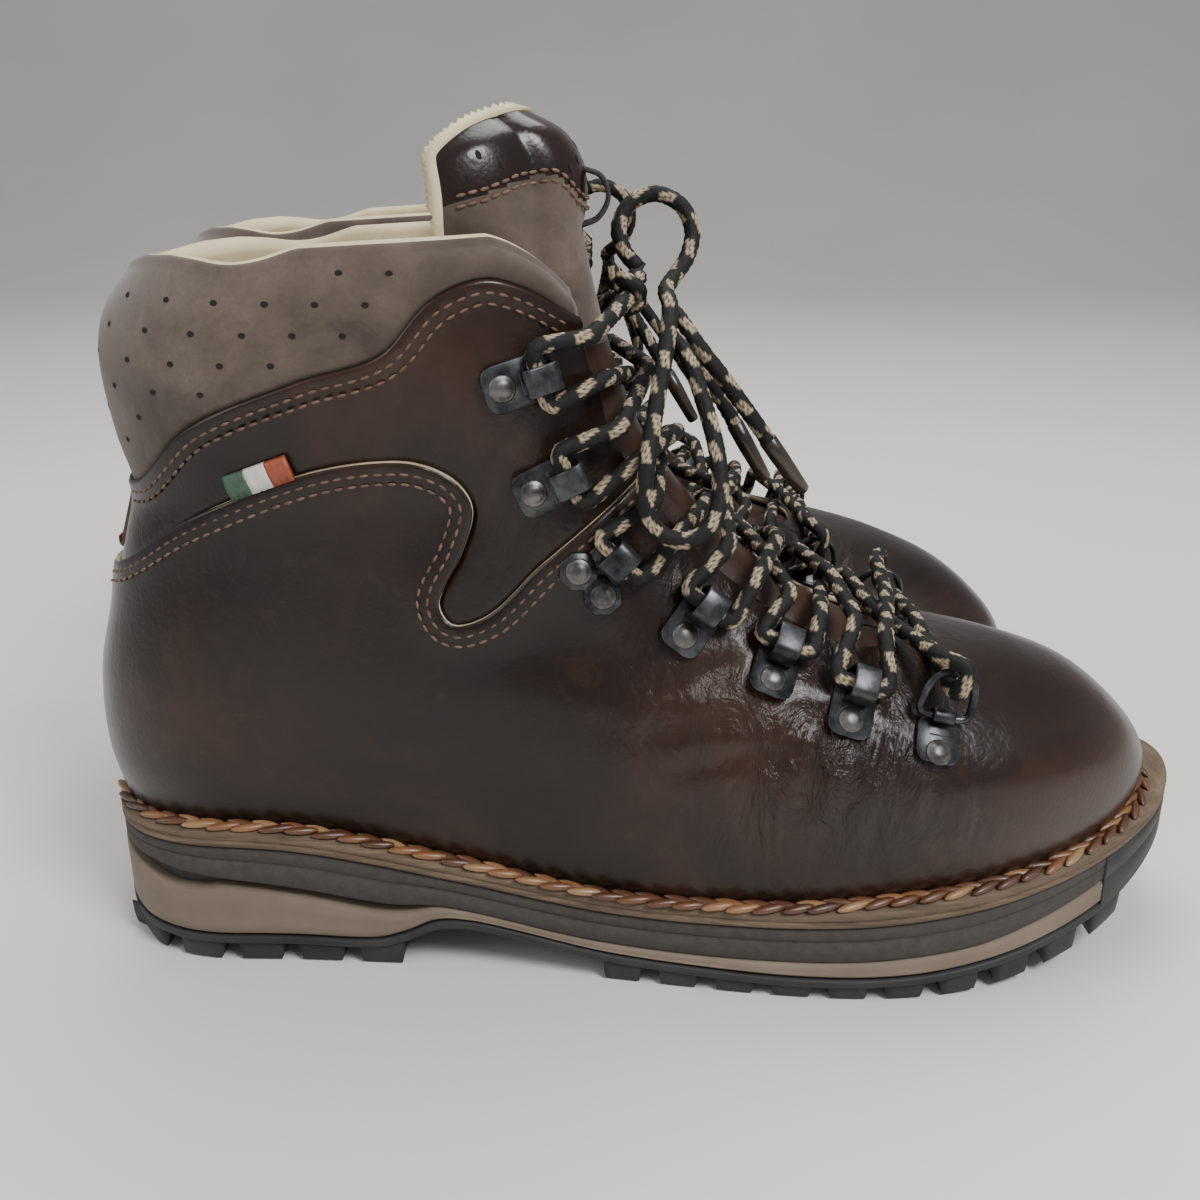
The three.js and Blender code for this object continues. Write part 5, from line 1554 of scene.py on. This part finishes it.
LACE_HEIGHT = PLATE_THICKNESS + LACE_ROOM / 2
STRAND_RISE = LACE_DIAMETER / 2 + 0.6
EDGE_RISE = 5
OVER_RISE = 2
RING_RISE = 5
BAR_RISE = 3.5
HOOK_END = (HOOK_WIDTH + LACE_DIAMETER) / 2 + 2

BOW = [
    [2.5, 9.5, 4.5], [-1.5, 12.5, 9], [-3, 15, 15], [0, 17.8, 20.8], [7, 19, 23.5], [14, 17.8, 20.5],
    [17, 15, 14], [15.5, 11, 7.5], [12, 6, 3], [9.3, -1, 0], [10, -8.5, -3], [9, -17, -11],
    [6, -28.5, -25], [3.5, -38.5, -38], [3, -40.5, -47], [5.8, -41, -53.7], [12.5, -41.5, -56.5],
    [19.2, -40, -53.7], [22, -36, -47], [21.5, -30, -37], [18.5, -23, -26], [14.5, -16, -15.5],
    [9.5, -10, -9],
]
TAILS = [
    [34, 16, -45], [27, 15.5, -33], [19.5, 14, -21], [14.6, 12.2, -12.8], [11.8, 7.6, -6.8],
    [10.8, 0.8, -4.7], [12.6, -5.9, -6.6], [16.8, -9.8, -12.2], [23.5, -10.5, -20.5],
    [31.5, -9, -31], [41, -6, -44],
]


def point_on(s, v, side, height):
    return on_skin(round_place(s, side), v, height)


def edge_point(place, level, side, rise):
    ridge = front_line(level)
    x, z = (np.array(place, float) + ridge) / 2
    return point_on(*find_side(x, z), side, STRAND_RISE + rise)


def crossing(start, end, side, is_low):
    level = (ridge_level(start) + ridge_level(end)) / 2
    rise = EDGE_RISE + (0 if is_low else OVER_RISE)
    height = STRAND_RISE - TONGUE_SINK + (0 if is_low else LACE_DIAMETER + 1)
    more = RING_RISE if start is RING_PLACE else 0
    return [edge_point(start, level, side, rise + more), on_skin(1.0, level, height),
            edge_point(end, level, -side, rise)]


def lace_half(axes, first_side, is_low):
    ring = axes[(first_side, "ring")]

    def tilt(reach, off):
        return in_frame(ring, [reach * math.cos(RING_TILT) - off * math.sin(RING_TILT), 0,
                               BAR_HEIGHT + reach * math.sin(RING_TILT) + off * math.cos(RING_TILT)])

    turn = (RING_WIRE + LACE_DIAMETER) / 2 + RING_PLAY / 2
    inner = RING_REACH - turn * 0.75
    points = [tilt(RING_REACH + 2, -turn), tilt(inner, -turn * 0.75), tilt(inner, turn),
              tilt(RING_REACH + turn * 0.8, turn * 1.3)]
    side, start = first_side, RING_PLACE
    for i in range(len(HOOK_PLACES) - 1, -1, -1):
        place = HOOK_PLACES[i]
        points += crossing(start, place, side, is_low)
        side = -side
        own = axes[side][i]
        points += [in_frame(own, [0, -HOOK_END, LACE_HEIGHT]), in_frame(own, [0, HOOK_END, LACE_HEIGHT])]
        start = place
    return points


def knot_place():
    return on_skin(1.0, KNOT_LEVEL, KNOT_RADIUS + KNOT_REST)


def rounded_route(points, step=0.75):
    """A smooth line near a list of points: corners are rounded, not overshot."""
    points = np.asarray(points, float)
    line = even(points, 1.2)
    for _ in range(6):
        line[1:-1] = line[1:-1] * 0.5 + (line[:-2] + line[2:]) * 0.25
    return even(line, step)


def free_route(offsets, step=0.75):
    """A smooth curve through the points of a free stretch."""
    places = np.array(offsets, float) + knot_place()
    line = route(places)(np.linspace(0, 1, 500))
    return even(line, step)


FLECK_PITCH = 11.0
FLECK_LENGTH = 5.0
FLECK_LEAD = 2 * np.pi / 45  # the pale yarns run nearly along the lace


def braid(line, radius=LACE_DIAMETER / 2, sides=30, is_loop=False):
    """A braided tube: eight strands wind each way round it, with paired pale flecks, and a groove mask for
    the painted shade between the strands.
    """
    at = np.arange(len(line)) * 0.75
    angle = 2 * np.pi * np.arange(sides) / sides
    lead = 2 * np.pi / 13.0
    one = 5 * (angle[None] + at[:, None] * lead)
    two = 5 * (angle[None] - at[:, None] * lead)
    over = np.sin(one / 2 + two / 2) * np.sin(one / 2 - two / 2)
    ridge = np.where(over > 0, np.abs(np.cos(one / 2)), np.abs(np.cos(two / 2)))
    grown = radius * (0.86 + 0.14 * ridge)
    fleck = np.zeros(over.shape)
    for k in range(3):
        for beside in (-0.3, 0.3):
            turn = angle[None] + at[:, None] * FLECK_LEAD - k * 2 * np.pi / 3 + beside
            in_dash = np.mod(at + k * FLECK_PITCH / 3, FLECK_PITCH) < FLECK_LENGTH
            fleck[(np.cos(turn) > 0.97) & in_dash[:, None]] = 1
    # painted shade: the lower the surface lies between the strands, the darker the lace is coloured there
    groove = np.clip((0.42 - ridge) * 2.2, 0, 1)
    points, faces = swept(line, grown, is_loop)
    return points, faces, fleck.ravel(), groove.ravel()


def make_laces(axes):
    knot = knot_place()
    low = lace_half(axes, -1, True)
    high = lace_half(axes, 1, False)
    bar_level = ridge_level(RING_PLACE)
    bar = [edge_point(RING_PLACE, bar_level, -1, BAR_RISE),
           on_skin(1.0, bar_level, STRAND_RISE + 0.5), edge_point(RING_PLACE, bar_level, 1, BAR_RISE)]
    end = lambda side: knot + [0, side * KNOT_RADIUS * 0.6, -1]
    edge = lambda side: edge_point(HOOK_PLACES[0], KNOT_LEVEL, side, EDGE_RISE)
    low_side = -1 if low[-1][1] < knot[1] else 1
    strand = [end(low_side), edge(low_side), *low[::-1], *bar, *high, edge(-low_side), end(-low_side)]
    shape = Shape()

    def add(line, **options):
        points, faces, fleck, groove = braid(line, **options)
        shape.add(points, faces, fleck=fleck, groove=groove)

    add(rounded_route(strand))
    t = np.linspace(0, 2 * np.pi, 150)[:-1]
    trefoil = np.column_stack([-np.sin(3 * t) * 2.2, (np.sin(t) + 2 * np.sin(2 * t)) * 2.1,
                               (np.cos(t) - 2 * np.cos(2 * t)) * 1.5])
    add(even(np.vstack([trefoil, trefoil[:1]]) + knot, 0.75)[:-1], is_loop=True)
    put("lace_braid", shape, [BRAID], replaces=["lace"])

    ends = make_aglets()
    for name, offsets, tips in (("lace_bow", BOW, {}), ("lace_tails", TAILS, ends)):
        line = free_route(offsets)
        points, faces, fleck, groove = braid(line)
        own = Shape().add(points, faces, fleck=fleck, groove=groove)
        made = put(f"{name}_braid", own, [BRAID], replaces=[name])


def make_aglets():
    """The plastic tips of the two tails."""
    made = {"right": [], "left": []}
    for k, (tip, before) in enumerate(((TAILS[0], TAILS[1]), (TAILS[-1], TAILS[-2]))):
        tip, before = np.array(tip, float) + knot_place(), np.array(before, float) + knot_place()
        along = unit(tip - before)
        line = [tip + along * d for d in (-7, -6.6, 0, 7, 12, 12.6)]
        radius = [1.9, 2.5, 2.5, 2.2, 2.0, 1.4]
        points, faces = tube(np.array(line), radius, 14)
        pieces = put(f"aglet_{k + 1}", Shape().add(points, faces), [AGLET])
        for boot, piece in pieces.items():
            made[boot].append(piece)
    return made


# ------------------------------------------------------------------ floor, light and camera

def make_floor():
    """A pale floor that sweeps up behind the boots."""
    turn = np.linspace(0, math.pi / 2, 24)
    line = [(-4.0, 0.0)] + [(1.6 + 1.4 * math.sin(t), 1.4 - 1.4 * math.cos(t)) for t in turn] + [(3.0, 6.0)]
    points = [(x, y, z - 0.0002) for y, z in line for x in (-6.0, 6.0)]
    mesh = bpy.data.meshes.new("floor")
    mesh.from_pydata(points, [], grid_faces(len(line), 2))
    mesh.polygons.foreach_set("use_smooth", [True] * len(mesh.polygons))
    floor = bpy.data.objects.new("floor", mesh)
    bpy.context.scene.collection.objects.link(floor)
    n = Nodes("floor_pale")
    n.colour(n.ramp(n.noise(2.0, 3), [(0.3, (0.7, 0.68, 0.65)), (0.7, (0.76, 0.74, 0.71))]))
    n.rough(n.span(n.noise(30, 3), 0.6, 0.75))
    mesh.materials.append(n.material)


LAMP_TARGET = Vector((0, 0, 0.09))
LAMPS = [
    ("key", (0.6, -0.75, 1.1), 0.45, 17), ("fill", (-1.2, -0.5, 0.8), 0.8, 5),
    ("top", (0.0, 0.45, 1.3), 0.9, 14),
]


def make_light():
    world = bpy.data.worlds.new("studio")
    world.use_nodes = True
    world.node_tree.nodes["Background"].inputs["Color"].default_value = (0.93, 0.95, 1.0, 1)
    world.node_tree.nodes["Background"].inputs["Strength"].default_value = 0.42
    bpy.context.scene.world = world
    for name, place, size, power in LAMPS:
        data = bpy.data.lights.new(name, "AREA")
        data.size = size
        data.energy = power
        lamp = bpy.data.objects.new(name, data)
        lamp.location = place
        lamp.rotation_euler = (LAMP_TARGET - Vector(place)).to_track_quat("-Z", "Y").to_euler()
        bpy.context.scene.collection.objects.link(lamp)


SENSOR = 36
LENS = 36.9
CAMERA_PLACE = (-0.00694, -0.391, 0.2245)
CAMERA_DOWN = 20.3  # degrees below the horizon


def make_camera():
    data = bpy.data.cameras.new("camera")
    data.sensor_width = SENSOR
    data.lens = LENS
    camera = bpy.data.objects.new("camera", data)
    camera.location = CAMERA_PLACE
    camera.rotation_euler = (math.radians(90 - CAMERA_DOWN), 0, 0)
    bpy.context.scene.collection.objects.link(camera)
    bpy.context.scene.camera = camera


# ------------------------------------------------------------------ making

make_camera()
hook_axes = make_hardware()
make_laces(hook_axes)
outer_seam, inner_seam = make_vamp()
make_quarter()
make_collar()
make_perforations()
make_lining()
make_tongue()
make_side_tab()
make_back_strip()
make_sole()
make_welt_stitch()
make_stitches(outer_seam, inner_seam)
make_floor()
make_light()
